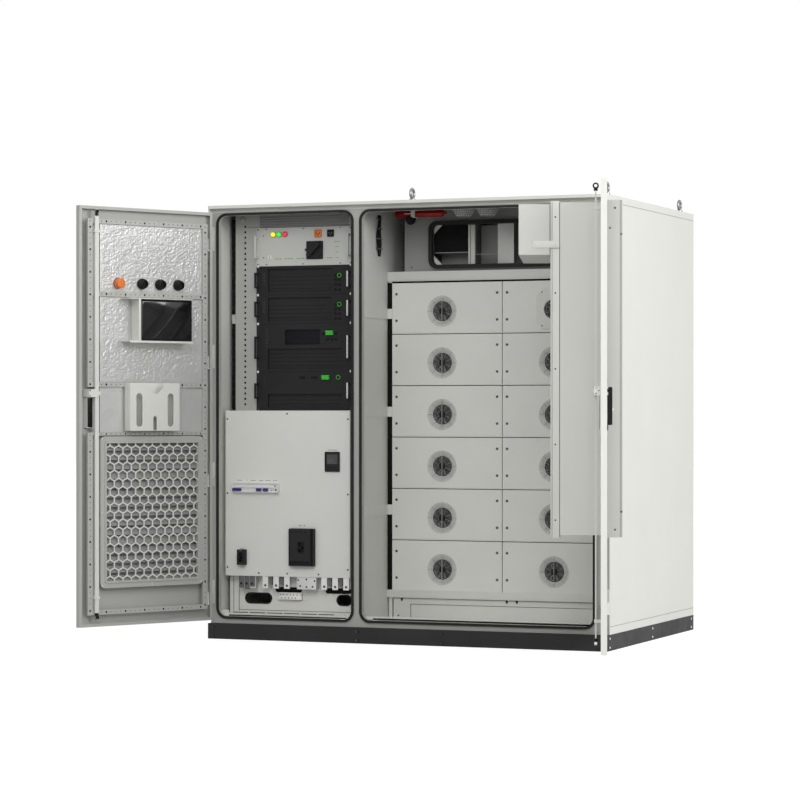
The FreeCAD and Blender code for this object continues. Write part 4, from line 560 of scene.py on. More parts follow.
# %% Sheets with holes
def tile_rings(x0, x1, z0, z1, hole, per_side=4):
    """A tile's border in even steps along its sides, and the same number of points round its hole."""
    t = np.arange(per_side) / per_side
    border = np.concatenate([
        np.stack([x0 + (x1 - x0) * t, np.full(per_side, z0)], 1),
        np.stack([np.full(per_side, x1), z0 + (z1 - z0) * t], 1),
        np.stack([x1 - (x1 - x0) * t, np.full(per_side, z1)], 1),
        np.stack([np.full(per_side, x0), z1 - (z1 - z0) * t], 1)])
    middle = np.array([(x0 + x1) / 2, (z0 + z1) / 2])
    angles = np.linspace(-0.75 * math.pi, 1.25 * math.pi, 4 * per_side, endpoint=False)
    return border, middle + hole * np.stack([np.cos(angles), np.sin(angles)], 1)


def perforated(cells, near, far):
    """A sheet of tiles; each cell is left, right, low, high and the radius of its hole."""
    cells = np.asarray(cells, float)
    low, high = cells[:, [0, 2]].min(0), cells[:, [1, 3]].max(0)
    shapes = []
    for x0, x1, z0, z1, hole in cells:
        border, edge = tile_rings(x0, x1, z0, z1, hole)
        count = len(border)
        rings = [np.insert(border, 1, far, 1), np.insert(edge, 1, far, 1),
                 np.insert(edge, 1, near, 1), np.insert(border, 1, near, 1)]
        index = np.arange(4 * count).reshape(4, count)
        faces = np.stack([index[:-1], index[1:], np.roll(index[1:], -1, 1), np.roll(index[:-1], -1, 1)], -1)
        faces = faces.reshape(-1, 4).tolist()
        middle = (border + np.roll(border, -1, 0)) / 2
        outside = (np.abs(middle - low) < 1e-6).any(1) | (np.abs(middle - high) < 1e-6).any(1)
        wall = np.stack([index[3], index[0], np.roll(index[0], -1), np.roll(index[3], -1)], -1)[outside]
        shapes.append((np.concatenate(rings), faces + wall.tolist()))
    return together(shapes)


# %% Make a piece
def make_piece(name, shapes, finish_name, body="cabinet", merge=False, corner=35, stands_for=()):
    """Write shapes into one mesh, ease its shading under a corner angle, and let it ride on its body.

    What rides on a body of a door is given in that door's measures, and the rest in the cabinet's.
    """
    points, faces = together(shapes) if isinstance(shapes, list) else shapes
    door = body.split("_")[0]
    if door in HINGES:
        points = hung(points, door)
        if door == "right":
            faces = [face[::-1] for face in faces]
    mesh = bpy.data.meshes.new(name)
    mesh.from_pydata(metres(points).tolist(), [], faces)
    if merge:
        work = bmesh.new()
        work.from_mesh(mesh)
        bmesh.ops.remove_doubles(work, verts=work.verts, dist=2e-5)
        bmesh.ops.dissolve_degenerate(work, edges=work.edges, dist=1e-6)
        bmesh.ops.recalc_face_normals(work, faces=work.faces)
        work.to_mesh(mesh)
        work.free()
    mesh.shade_smooth()
    mesh.set_sharp_from_angle(angle=math.radians(corner))
    mesh.materials.append(finishes[finish_name])
    piece = bpy.data.objects.new(name, mesh)
    scene.collection.objects.link(piece)
    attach(piece, body)
    if stands_for:
        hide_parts(*stands_for)
    print(f"{name}: {len(mesh.polygons)} faces on {body}")
    return piece


# %% [markdown]
# ## Screws
#
# Sheet metal is held by hundreds of screws, so one screw must be light. A pan head
# is a low dome, which is a turned row of four rings, and the cross in it is only
# suggested by a small dark star set just proud of the dome.


# %% Screws
def pan_head(depth, radius, rise, sides=10):
    """A dome in four rings, its base at a depth and its top towards the viewer by the rise."""
    steps = np.radians([0, 35, 65, 90])
    return turned(0, 0, [(depth - rise * math.sin(t), radius * math.cos(t)) for t in steps], sides)


def cross_slot(depth, reach, wide):
    """A thin plus sign: two crossed bars as one twelve-cornered outline, a tenth of a millimetre thick."""
    w = wide / 2
    corner = np.array([(w, w), (w, reach), (-w, reach), (-w, w), (-reach, w), (-reach, -w),
                       (-w, -w), (-w, -reach), (w, -reach), (w, -w), (reach, -w), (reach, w)])
    return skin([np.insert(corner, 1, depth, 1), np.insert(corner, 1, depth + 0.12, 1)])


def add_screws(name, places, radius, rise, body="cabinet", finish_name="bright_steel", facing=-1):
    """Pan heads with their crosses at places (x, depth, z); facing is which way along the depth they look."""
    head = pan_head(0, radius, rise)
    cross = cross_slot(-rise - 0.1, radius * 0.5, radius * 0.2)
    if facing > 0:
        head = outward((head[0] * [1, -1, 1], head[1]))
        cross = outward((cross[0] * [1, -1, 1], cross[1]))
    make_piece(name, [repeated(head, places)], finish_name, body)
    make_piece(name + "_crosses", [repeated(cross, places)], "dark_ink", body)

# %% [markdown]
# ## The left door's perforated frame
#
# Inside the door runs a ladder of channel, punched every 25 mm, with every fourth
# hole large enough for a screw. It could be a flat strip with dots painted on, but
# the light falls into real holes, so the faces are real perforated sheet. The sides
# of the channel are two thin walls, and a dark strip inside is painted shadow for the holes.

# %% Perforated channels
CHANNEL_FACE = (31.2, 33.0)
SMALL_HOLE = 2.4
LARGE_HOLE = 5.0


def punched(start, end, first, pitch, plain_every=4):
    """Cells along a strip: borders halfway between the holes, every fourth hole large."""
    middles = np.arange(first, end - pitch / 4, pitch)
    borders = np.concatenate([[start], (middles[1:] + middles[:-1]) / 2, [end]])
    large = np.arange(len(middles)) % plain_every == 0
    return borders[:-1], borders[1:], np.where(large, LARGE_HOLE, SMALL_HOLE)


def upright_channel(x0, x1, z0, z1, first):
    """A standing channel: perforated face, and two walls down to the door."""
    low, high, holes = punched(z0, z1, first, 25)
    cells = np.stack([np.full_like(low, x0), np.full_like(low, x1), low, high, holes], 1)
    walls = [plate(x, x + 1.5, z0, z1, DOOR_FACE, CHANNEL_FACE[0], 0.4, 0.2, 1) for x in (x0, x1 - 1.5)]
    return [perforated(cells, *CHANNEL_FACE)] + walls


def level_channel(x0, x1, z0, z1, first):
    """A lying channel: the same, turned."""
    low, high, holes = punched(x0, x1, first, 26)
    holes = np.minimum(holes, (z1 - z0) / 2 - 3)
    cells = np.stack([low, high, np.full_like(low, z0), np.full_like(low, z1), holes], 1)
    walls = [plate(x0, x1, z, z + 1.5, DOOR_FACE, CHANNEL_FACE[0], 0.4, 0.2, 1) for z in (z0, z1 - 1.5)]
    return [perforated(cells, *CHANNEL_FACE)] + walls


ladder = upright_channel(35, 61, 140, 1905, 166)
for z0, z1, first in ((140, 952, 166), (1155, 1905, 1166)):
    ladder += upright_channel(666, 692, z0, z1, first)
for z0, z1 in ((140, 162), (1883, 1905), (1559, 1581), (1155, 1177), (938, 952)):
    ladder += level_channel(61, 666, z0, z1, 73)
# The channels wear the darker copy of the cabinet paint: painted shade.
make_piece("perforated_frame", ladder, "cabinet_paint_in_shade", "left_door_leaf", stands_for=("left_door_frame",))
shadows = [(37, 59, 142, 1903), (668, 690, 142, 950), (668, 690, 1157, 1903)]
shadows += [(61, 666, z0 + 2, z1 - 2) for z0, z1 in ((140, 162), (1883, 1905), (1559, 1581), (1155, 1177),
                                                     (938, 952))]
make_piece("channel_shadows", [plate(x0, x1, z0, z1, 27, 28.5, 0.6, 0.3, 1) for x0, x1, z0, z1 in shadows],
           "dark_ink", "left_door_leaf")

# %% [markdown]
# ## Foil on the insulation
#
# Behind the frame lie three boards of insulation covered with creased foil. The
# creases are ridges: where a smooth random height passes through zero, its absolute
# value makes a sharp fold. Three sizes of ridge are added, and they die away at the
# border, where the board is held.


# %% Creased foil
def lattice(u, v, cells_u, cells_v, seed):
    """Smooth random heights: random values on a lattice, eased from one to the next."""
    values = np.random.default_rng(seed).uniform(-1, 1, (cells_u + 2, cells_v + 2))
    a, b = u * cells_u, v * cells_v
    i, j = np.floor(a).astype(int), np.floor(b).astype(int)
    s, t = a - i, b - j
    s, t = s * s * (3 - 2 * s), t * t * (3 - 2 * t)
    return (values[i, j] * (1 - s) * (1 - t) + values[i + 1, j] * s * (1 - t)
            + values[i, j + 1] * (1 - s) * t + values[i + 1, j + 1] * s * t)


def creases(u, v, wide, high, cell, seed):
    """Folds: one less the absolute value of smooth random heights, for cells wider than they are high."""
    return 1 - np.abs(lattice(u, v, max(2, int(wide / cell / 1.5)), max(2, int(high / cell)), seed)) * 2


def foil_board(x0, x1, z0, z1, back, front, depth, seed, step=2.6):
    """A board whose front is a grid pushed out by creases; its sides and back are plain."""
    columns, rows = int((x1 - x0) / step), int((z1 - z0) / step)
    u, v = np.meshgrid(np.linspace(0, 1, columns), np.linspace(0, 1, rows))
    wide, high = x1 - x0, z1 - z0
    lift = (0.2 * creases(u, v, wide, high, 30, seed) + 0.5 * creases(u, v, wide, high, 8.5, seed + 1)
            + 0.3 * creases(u, v, wide, high, 6, seed + 2))
    near_edge = np.minimum(np.minimum(u, 1 - u) * wide, np.minimum(v, 1 - v) * high)
    lift *= np.clip(near_edge / 12, 0, 1)
    points = np.stack([x0 + wide * u, front + depth * (lift - 0.5), z0 + high * v], -1)
    index = np.arange(rows * columns).reshape(rows, columns)
    faces = np.stack([index[:-1, :-1], index[:-1, 1:], index[1:, 1:], index[1:, :-1]], -1).reshape(-1,
                                                                                                   4).tolist()
    around = np.concatenate([index[0, :-1], index[:-1, -1], index[-1, :0:-1], index[:0:-1, 0]])
    flat = points.reshape(-1, 3)
    behind = flat[around] * [1, 0, 1] + [0, back, 0]
    second = np.arange(len(behind)) + len(flat)
    faces += np.stack([around, second, np.roll(second, -1), np.roll(around, -1)], -1).tolist()
    faces.append(second.tolist())
    return outward((np.concatenate([flat, behind]), faces))


boards = [foil_board(61.5, 621.5, 1581.5, 1882.5, -1.8, 24.6, 1.5, 11),
          foil_board(61.5, 621.5, 1177.5, 1558.5, -1.8, 24.6, 1.5, 21),
          foil_board(61.5, 621.5, 952.5, 1154.5, -1.8, 24.2, 1.0, 31, step=6.0)]
make_piece("foil_boards", boards, "foil", "left_door_leaf", corner=80, stands_for=("door_insulation",))

# %% [markdown]
# ## The air filter
#
# A honeycomb grid holds the fleece, with sloping louvres behind it. The grid is one
# tile again, this time between two hexagons, set in staggered rows and trimmed by
# holding every point inside the frame. Because the louvres stand at a slightly
# different pitch from the cells, dark bands drift up the filter, as on the real one.

# %% Honeycomb, frame and louvres
FILTER = (91.0, 598.0, 286.0, 905.0)
CELL_WIDE = (FILTER[1] - FILTER[0]) / 11
CELL_HIGH = (FILTER[3] - FILTER[2]) / 17
BAR_SHARE = 0.13


def honeycomb(near, far):
    """Rows of six-sided rings, every other row moved by half a cell, held inside the frame."""
    half, tip, shoulder = CELL_WIDE / 2, CELL_HIGH * 2 / 3, CELL_HIGH / 3
    corners = np.array([(0, tip), (-half, shoulder), (-half, -shoulder), (0, -tip), (half, -shoulder),
                        (half, shoulder)])
    inner = corners * (1 - BAR_SHARE)
    rings = [np.insert(corners, 1, far, 1), np.insert(inner, 1, far, 1),
             np.insert(inner, 1, near, 1), np.insert(corners, 1, near, 1)]
    index = np.arange(24).reshape(4, 6)
    faces = np.stack([index[:-1], index[1:], np.roll(index[1:], -1, 1), np.roll(index[:-1], -1, 1)], -1)
    row, column = np.meshgrid(np.arange(-1, 19), np.arange(-1, 13), indexing="ij")
    x = FILTER[0] + (column + 0.5 + 0.5 * (row % 2)) * CELL_WIDE
    z = FILTER[2] + row * CELL_HIGH
    places = np.stack([x.ravel(), np.zeros(x.size), z.ravel()], 1)
    points, cells = repeated((np.concatenate(rings), faces.reshape(-1, 4).tolist()), places)
    points[:, 0] = np.clip(points[:, 0], FILTER[0] - 1, FILTER[1] + 1)
    points[:, 2] = np.clip(points[:, 2], FILTER[2] - 1, FILTER[3] + 1)
    return points, cells


def louvre(z, pitch, near, far, thick=1.2):
    """A sloping blade across the filter: its section is a thin leaning strip."""
    section = np.array([(far, z), (far + thick, z + 1), (near + thick, z + pitch * 0.72),
                        (near, z + pitch * 0.72 - 1)])
    rings = [np.insert(section, 0, x, 1) for x in (FILTER[0] - 2, FILTER[1] + 2)]
    return skin(rings)


LOUVRE_PITCH = 42.0
louvres = [louvre(z, LOUVRE_PITCH, 14.0, 28.0) for z in np.arange(FILTER[2] - 4, FILTER[3] - 20,
                                                                  LOUVRE_PITCH)]
make_piece("honeycomb", honeycomb(33.0, 36.5), "inner_paint", "left_door_leaf", merge=True,
           stands_for=("air_filter",))
# The louvres behind the honeycomb wear the dark grey as painted shadow.
make_piece("filter_louvres", louvres, "shadow_and_seam_paint", "left_door_leaf")
make_piece("filter_back", [plate(FILTER[0] - 4, FILTER[1] + 4, FILTER[2] - 4, FILTER[3] + 4, 1.0, 10.0, 1,
                                 0.5)], "filter_fleece", "left_door_leaf")
filter_frame = [rim(61.5, 627.5, 256.5, 934.5, 24, DOOR_FACE, 38.0, radius=26, edge=0.8),
                rim(84, 605, 279, 912, 9, DOOR_FACE, 42.5, radius=12, edge=1.0)]
# The filter's frame wears the darker copy of the cabinet paint: painted shade.
make_piece("filter_frame", filter_frame, "cabinet_paint_in_shade", "left_door_leaf")
add_screws("filter_screws", [(x, 38.0, z) for x in (73, 345, 616) for z in (268, 595, 923)], 4, 1.6,
           "left_door_leaf", facing=1)

# %% [markdown]
# ## The display and its bracket
#
# Seen from behind, the display is a shallow black case that hangs between two folded
# shelves. The shelves are plates that lie down, so their outline is in the other
# two directions: the same plate with two of its axes exchanged.


# %% Display
def lying_plate(x0, x1, y0, y1, z0, z1, radius=2.0, edge=0.6):
    """A plate lying down: its outline runs across and inwards, its thickness runs up."""
    return swapped(plate(x0, x1, y0, y1, z0, z1, radius, edge), (0, 2, 1))


def standing_side(x0, x1, y0, y1, z0, z1, radius=2.0, edge=0.6):
    """A plate that faces sideways: its outline runs inwards and up, its thickness runs across."""
    return swapped(plate(y0, y1, z0, z1, x0, x1, radius, edge), (1, 0, 2))


shelves = [lying_plate(161, 510, 25, 99, z, z + 4, 6) for z in (1359, 1550)]
shelves += [standing_side(450, 453, 25, 99, 1363, 1550), plate(450, 462, 1363, 1550, 96, 99, 1, 0.5),
            lying_plate(161, 510, 95, 99, 1354, 1359, 1.5, 0.5)]
make_piece("display_bracket", shelves, "cabinet_paint", "left_door_leaf", stands_for=("display_unit",))
case = [plate(165.5, 449.5, 1363.5, 1549.5, 33, 92, 5, 2), rim(168, 447, 1366, 1547, 7, 91, 95, 6, 1)]
make_piece("display_case", case, "black_plastic", "left_door_leaf")
make_piece("display_back_glass", [plate(175, 440, 1373, 1540, 90, 93.5, 3, 0.6)], "screen_glass",
           "left_door_leaf")
add_screws("display_screws", [(494, 99.0, 1356.5), (175, 99.0, 1356.5)], 2.2, 1.0, "left_door_leaf",
           facing=1)

# %% [markdown]
# ## The document pocket
#
# The pocket is a folded box with a thumb notch and two long round-ended slots. A
# sheet like this is easiest as two bands, one above the other. The edge of a band is
# a height for every place along it, so a slot is only a rise in the band's lower
# edge and a fall in the upper edge of the one below.

# %% Pocket
POCKET = (225.0, 495.0, 959.0, 1174.0)
POCKET_FRONT = (75.8, 78.0)
SEAM = 1060.0


def slot_edge(x, middle, radius, end, direction, elsewhere):
    """Height of a round slot end over its width, and another height elsewhere."""
    across = np.clip(1 - ((x - middle) / radius) ** 2, 0, None)
    return np.where(across > 0, end + direction * radius * np.sqrt(across), elsewhere)


def band(x, low, high, near, far):
    """A sheet between two edges: four corners at each place along it."""
    corner = [np.stack([x, np.full_like(x, depth), height], 1)
              for depth, height in ((near, low), (near, high), (far, high), (far, low))]
    return skin(np.stack(corner, 1))


middle_x = (POCKET[0] + POCKET[1]) / 2
slot_middles = (274.5, 445.5)
along = np.unique(np.concatenate([np.linspace(POCKET[0], POCKET[1],
                                              60)] + [m + r * np.cos(np.linspace(0, math.pi, 17)) for m,
                                                      r in ((slot_middles[0], 16.5),
                                                            (slot_middles[1], 16.5), (middle_x, 47),
                                                            (middle_x, 10))] + [np.array([m - r - 0.02,
                                                                                          m + r + 0.02])
                                                                                for m,
                                                                                r in ((slot_middles[0],
                                                                                       16.5),
                                                                                      (slot_middles[1],
                                                                                       16.5), (middle_x,
                                                                                               10))]))
upper_low = np.full_like(along, SEAM)
lower_high = np.full_like(along, SEAM)
for m in slot_middles:
    upper_low = slot_edge(along, m, 16.5, 1111.0, 1, upper_low)
    lower_high = slot_edge(along, m, 16.5, 994.0, -1, lower_high)
upper_high = slot_edge(along, middle_x, 47, POCKET[3], -1, np.full_like(along, POCKET[3]))
lower_low = slot_edge(along, middle_x, 10, 1015.0, 1, np.full_like(along, POCKET[2]))
pocket = [band(along, upper_low, upper_high, *POCKET_FRONT),
          band(along, lower_low, lower_high, *POCKET_FRONT),
          plate(POCKET[0], POCKET[1], POCKET[2], POCKET[3], 33, 35, 1.5, 0.5)]
pocket += [standing_side(x, x + 2, 35, 76, POCKET[2], POCKET[3]) for x in (POCKET[0], POCKET[1] - 2)]
pocket.append(lying_plate(POCKET[0], POCKET[1], 35, 76, POCKET[2], POCKET[2] + 2))
make_piece("pocket_box", pocket, "cabinet_paint", "left_door_leaf", stands_for=("document_pocket",))

# %% [markdown]
# ## Push buttons and lamps
#
# Each device in the door is a turned part: a bezel outside, a neck through the
# sheet, and a contact block with a ring nut inside. Only the stop button moves, and
# the solids hold it as a part of its own.

# %% Buttons
BUTTON_HEIGHT = 1620.0
LAMP_PLACES = {"yellow_lamp": 398, "green_lamp": 299, "red_lamp": 198}
BLOCK = [(-1.8, 22), (24, 22), (26, 24.5), (34, 24.5), (36, 22.5), (44, 22.5), (46, 20), (54, 19), (55, 17),
         (55, 12.5), (48, 12), (48, 6), (52, 5.5), (52.5, 1)]
blocks = [turned(x, BUTTON_HEIGHT, BLOCK, 28) for x in LAMP_PLACES.values()]
bezels = [turned(x, BUTTON_HEIGHT, [(-7.0, 15), (-7.0, 23.5), (-6.2, 24.6), (-4.0, 25), (-1.8, 25),
                                    (-1.8, 11)], 28) for x in (525, *LAMP_PLACES.values())]
make_piece("lamp_blocks", blocks, "black_plastic", "left_door_leaf", stands_for=("door_switches",))
make_piece("button_bezels", bezels, "bright_steel", "left_door_leaf")
ORANGE = [(24.0, 21.5), (27, 23.0), (38, 23.0), (40, 21.8), (52, 21.8), (54.5, 19.5), (55, 15), (55, 1)]
make_piece("orange_block", [turned(525, BUTTON_HEIGHT, ORANGE, 32)], "orange_plastic", "left_door_leaf")
make_piece("orange_block_foot", [turned(525, BUTTON_HEIGHT,
                                        [(-1.8, 24), (23.5, 24.5), (27.0, 24.5), (28.5, 23.2)], 32)],
           "dark_steel", "left_door_leaf")
for lamp, x in LAMP_PLACES.items():
    lens = [(-15, 1), (-15, 8), (-13.6, 11.5), (-11, 13.4), (-7, 14), (-6.5, 14)]
    make_piece(lamp + "_lens", [turned(x, BUTTON_HEIGHT, lens, 28)], lamp, "left_door_leaf")

# %% [markdown]
# ## Rods, tips and hinges
#
# The rods and the guides are solids already. Each rod ends in a black roller, which
# is a turned piece round the rod's tip, and rides on the rod's own body, so that it
# slides with it.

# %% Rod tips
TIP = [(0, 5.5), (0.6, 6.8), (1.8, 7.35), (20, 7.35), (22, 8.2), (26, 8.2), (28, 7.2), (28, 1)]
for side, x in (("left", 650), ("right", 1119)):
    for end, z, way in (("upper", 1944, -1), ("lower", 121, 1)):
        rows = [(z + way * step, radius) for step, radius in TIP]
        make_piece(f"{side}_{end}_rod_tip", [turned_up(x, 41, rows, 20)], "black_plastic",
                   f"{side}_{end}_rod")

# %% [markdown]
# ## The left bay
#
# From here on the pieces stand in the cabinet itself, so their places are plain
# cabinet places: X from the left, depth from the front of the plinth, and height.
# Nineteen inch units all share one height step, so each front is described by how
# many steps it stands above the lowest unit.

# %% Rack places
RACK_LEFT, RACK_LOW, RACK_FACE, UNIT = 165.5, 1052.6, 175.0, 44.45
EARS = (RACK_LEFT + 9, RACK_LEFT + 482.6 - 9)


def unit_low(step):
    """Height of the lower edge of the unit that stands this many steps up."""
    return RACK_LOW + step * UNIT


def dots(places, radius, near, far, sides=16):
    """Short round studs between two depths at places (x, z)."""
    stud = turned(0, 0, [(near, radius * 0.8), (near + 0.6, radius), (far, radius)], sides)
    return repeated(stud, [(x, 0, z) for x, z in places])


def bars(boxes, near, far, radius=0.6, edge=0.3):
    """Small flat bars between two depths; each box is left, right, low, high."""
    return [plate(x0, x1, z0, z1, near, far, radius, edge, 1) for x0, x1, z0, z1 in boxes]


def ring_stud(x, z, outer, inner, near, far, sides=20):
    """A short tube seen end on: out along its wall, over its mouth and back down inside."""
    rows = [(far, outer), (near + 0.8, outer), (near, outer - 0.8), (near, inner + 0.8),
            (near + 0.8, inner), (far - 1, inner)]
    return turned(x, z, rows, sides)


# %% [markdown]
# ### The switch panel
#
# Three signal lamps, two sockets, a rotary switch on its square plate and a keyed
# lock. The small green marks under them are plain bars: there is nothing to read.

# %% Switch panel
LAMP_HEIGHT = 1865.0
for x, glass in zip((252, 281.5, 311), ("yellow_lamp", "green_lamp", "red_lamp")):
    rows = [(RACK_FACE, 11.5), (167.5, 11.5), (165.2, 10.4), (163.6, 8.0), (162.6, 4.5), (162.2, 0.5)]
    replaced = ("panel_fittings",) if glass == "yellow_lamp" else ()
    make_piece(f"panel_{glass}", [turned(x, LAMP_HEIGHT, rows, 28)], glass, stands_for=replaced)
make_piece("lamp_collars", [ring_stud(x, LAMP_HEIGHT, 13.4, 11.4, 170.5, 175, 28)
                            for x in (252, 281.5, 311)], "grey_plastic")


def socket(x, z, side, near):
    """A square socket: a frame and a sunk floor."""
    half = side / 2
    frame_piece = rim(x - half, x + half, z - half, z + half, 3.2, near, RACK_FACE, 2.4, 0.7)
    floor_piece = plate(x - half + 2, x + half - 2, z - half + 2, z + half - 2, near + 3.2, RACK_FACE, 1,
                        0.3, 1)
    return [frame_piece, floor_piece]


def contacts(x, z, depth):
    """Three contacts of a socket: two level ones and one upright."""
    return bars([(x - 9.5, x - 4.5, z - 1.2, z + 3.8), (x + 4.5, x + 9.5, z - 1.2, z + 3.8),
                 (x - 2.5, x + 2.5, z - 9, z - 4)], depth - 0.5, depth + 1, 0.5, 0.2)


make_piece("orange_socket", socket(479, LAMP_HEIGHT, 35, 167.5), "orange_plastic")
make_piece("black_socket", socket(541, LAMP_HEIGHT, 33, 168.5), "black_plastic")
make_piece("orange_contacts", contacts(479, LAMP_HEIGHT, 170.7), "dark_ink")
make_piece("black_contacts", contacts(541, LAMP_HEIGHT, 171.7), "grey_plastic")
key_rows = [(RACK_FACE, 10.5), (170.8, 10.5), (169.8, 9.6), (169.8, 5.4), (170.6, 5.2), (170.6, 0.5)]
make_piece("panel_lock", [turned(233, 1759, key_rows, 28)], "white_plastic")
make_piece("panel_lock_slot", bars([(231.8, 234.2, 1755, 1763)], 170.1, 171, 0.4, 0.2), "dark_ink")
make_piece("knob_plate", [plate(419, 503, 1747, 1831, 171, 175, 4, 1.1, 3),
                          turned(461, 1789, [(171.5, 41.2), (170.9, 40.8)], 40)], "dark_case")
make_piece("knob_side_stud", [plate(411.5, 420, 1787.5, 1796, 171.5, 175, 2, 0.6, 2)], "black_plastic")

GREEN_BARS = [(259, 295), (311, 352), (369, 412), (522, 552)]
green_places = [(x0 + k * (x1 - x0) / 3, x0 + (k + 0.72) * (x1 - x0) / 3, 1750.0, 1754.2)
                for x0, x1 in GREEN_BARS for k in range(3)]
green_places += [(557, 585, 1824.3, 1827.4), (562, 580, 1801, 1804), (566, 580, 1777, 1780),
                 (566, 579, 1751, 1754)]
make_piece("green_marks", bars(green_places, 174.75, 175.3, 0.4, 0.12), "green_ink")
panel_screws = [(216, 1890), (402, 1890), (588, 1890), (216, 1727), (402, 1727), (588, 1727), (201, 1860),
                (201, 1759)]
add_screws("panel_screws", [(x, RACK_FACE, z) for x, z in panel_screws], 3.2, 1.4, finish_name="dark_steel")
ear_steps = [(0, 4), (4, 5), (9, 3), (12, 3), (15, 4)]
ear_screws = [(x, RACK_FACE, unit_low(step) + offset) for step, high in ear_steps
              for x in (EARS[0] - 1.5, EARS[1] + 1.5) for offset in (7.5, high * UNIT - 8.5)]
add_screws("ear_screws", ear_screws, 4.0, 2.0, finish_name="dark_steel")
washers = [turned(x, z, [(175, 5.6), (173.9, 5.6), (173.5, 5.0)], 16)
           for x in (EARS[0] - 1.5, EARS[1] + 1.5) for z in [unit_low(step) - 0.4
                                                             for step in (4, 9, 12, 15)]]
make_piece("white_spacers", washers, "white_plastic")

# %% [markdown]
# ### The rack above the panel, its posts and ties
#
# A ribbed filler closes the gap between the switch panel and the roof, and two
# short plates tie the post to the wall.

# %% Filler and ties
filler = [plate(120, 660, 1898.5, 1903, 176.5, 179, 0.6, 0.3, 1),
          plate(120, 660, 1903, 1986, 181, 183, 0.6, 0.3, 1)]
filler += [plate(120, 660, z, z + 4.5, 178.4, 182, 0.6, 1.2, 2) for z in (1909, 1920, 1931, 1942, 1953)]
# The filler wears the dark grey as painted shadow under the roof.
make_piece("rack_filler", filler, "shadow_and_seam_paint")
# The ties wear the darker copy of the cabinet paint: painted shade.
make_piece("post_ties", [plate(38.5, 57, 1455, 1497, 175.4, 178, 1, 0.5),
                         plate(84, 106, 1928, 1946, 172, 177, 2, 0.6)], "cabinet_paint_in_shade")
make_piece("cable_gap", [plate(39.5, 56.5, 1055, 1454, 176.4, 180, 0.8, 0.3, 1),
                         plate(39.5, 56.5, 1498, 1940, 176.4, 180, 0.8, 0.3, 1)], "dark_ink")
gap_marks = [(48 + 3 * (k % 2), z) for k, z in enumerate(np.arange(1074, 1936, 38.0))
             if not 1440 < z < 1510]
make_piece("cable_gap_marks", [dots(gap_marks, 1.4, 175.9, 176.8, 8)], "grey_plastic")
grips = [(2, 64), (6.5, 96), (10.5, 64), (13.5, 64)]
grip_faces = [plate(EARS[1] - 4, EARS[1] + 4, unit_low(middle) - tall / 2 - 4,
                    unit_low(middle) + tall / 2 + 4, 136.2, 137.2, 1.5, 0.4, 2) for middle, tall in grips]
make_piece("grip_faces", grip_faces, "inner_paint")
make_piece("post_backing", [plate(57.5, 110, 1058, 1940, 181.2, 183.4, 0.8, 0.3, 1)], "dark_ink")
add_screws("tie_screws", [(95, 172, 1937)], 3.6, 1.6)

# %% [markdown]
# ### Fronts of the dark units
#
# Every connector on these fronts is a turned stud or a short tube, and the two
# green blocks are pluggable terminals with their row of screw wells. The ribs at
# the bottom of each recess are long bars across it.


# %% Dark units
def terminal_block(x, z, ways):
    """A pluggable terminal: body and a step along its top."""
    wide = 4.6 * ways
    return [plate(x - wide / 2, x + wide / 2, z - 10, z + 10, 164, 175.4, 1, 0.8),
            plate(x - wide / 2, x + wide / 2, z + 4, z + 9, 160.5, 166, 1, 0.8)]


light_dots = []
dark_studs = []
green_rings = []
recess_ribs = []
for step in (9, 12):
    low = unit_low(step)
    light_dots += [(x, low + z) for x in (199, 207) for z in (52, 60, 68, 76, 84, 92, 100)]
    dark_studs += [(x, low + z) for z in (20, 43, 65) for x in (565, 584.5)] + [(565, low + 85)]
    green_rings.append((584.5, low + 85))
    recess_ribs += bars([(224, 543, low + z, low + z + 2.2) for z in (28, 46, 64, 82)], 183.2, 185.2, 0.6,
                        0.5)
five, four = unit_low(4), unit_low(0)
light_dots += [(x, five + z) for x in (214, 222) for z in (120, 131, 142, 153, 164, 175, 186, 197)]
light_dots += [(205, four + z) for z in (112, 122, 132, 142, 152)]
dark_studs += [(x, five + 147) for x in (525, 547, 567)] + [(570, five + 173), (506, five + 173)]
dark_studs += [(x, four + 150) for x in (391, 406.5, 449.5, 467)]
green_rings.append((578.7, four + 150))
recess_ribs += bars([(226, 593, five + z, five + z + 2.2) for z in (28, 46, 64, 82)], 183.2, 185.2, 0.6,
                    0.5)
recess_ribs += bars([(226, 593, four + z, four + z + 2.2) for z in (28, 46, 62)], 183.2, 185.2, 0.6, 0.5)
make_piece("unit_light_dots", [dots(light_dots, 1.5, 174.4, 175.5, 8)], "grey_plastic")
make_piece("unit_studs", [dots(dark_studs, 6.6, 171.5, 175.5)], "black_plastic")
make_piece("unit_stud_bores", [dots(dark_studs, 3.0, 171.2, 172.5, 10)], "dark_ink")
make_piece("unit_green_rings", [ring_stud(x, z, 10.5, 7.6, 171, 175.5) for x, z in green_rings],
           "green_plastic")
make_piece("unit_ring_cores", [dots(green_rings, 7.4, 173.4, 175.5)], "black_plastic")
make_piece("recess_ribs", recess_ribs, "dark_case")
blocks_at = [(537, five + 177, 8), (517, four + 150, 8)]
make_piece("green_terminals", [shape for x, z, ways in blocks_at for shape in terminal_block(x, z, ways)],
           "green_plastic")
wells = [(x + (k - ways / 2 + 0.5) * 4.6, z - 4) for x, z, ways in blocks_at for k in range(ways)]
make_piece("terminal_wells", [dots(wells, 1.5, 163.8, 165, 8)], "dark_ink")
screen_box = [rim(308, 489, five + 122, five + 196, 3.0, 174.2, 179, 6, 0.5)]
make_piece("screen_surround", screen_box, "dark_case")
make_piece("screen_pane", [plate(311, 486, five + 125, five + 193, 179.5, 184, 4, 0.4)], "dark_floor")

# %% [markdown]
# ## The converter under the rack
#
# Its cover carries a black meter, a white terminal strip, a large and a small
# breaker. Under the cover hang copper tabs in front of a plate with cable mouths.

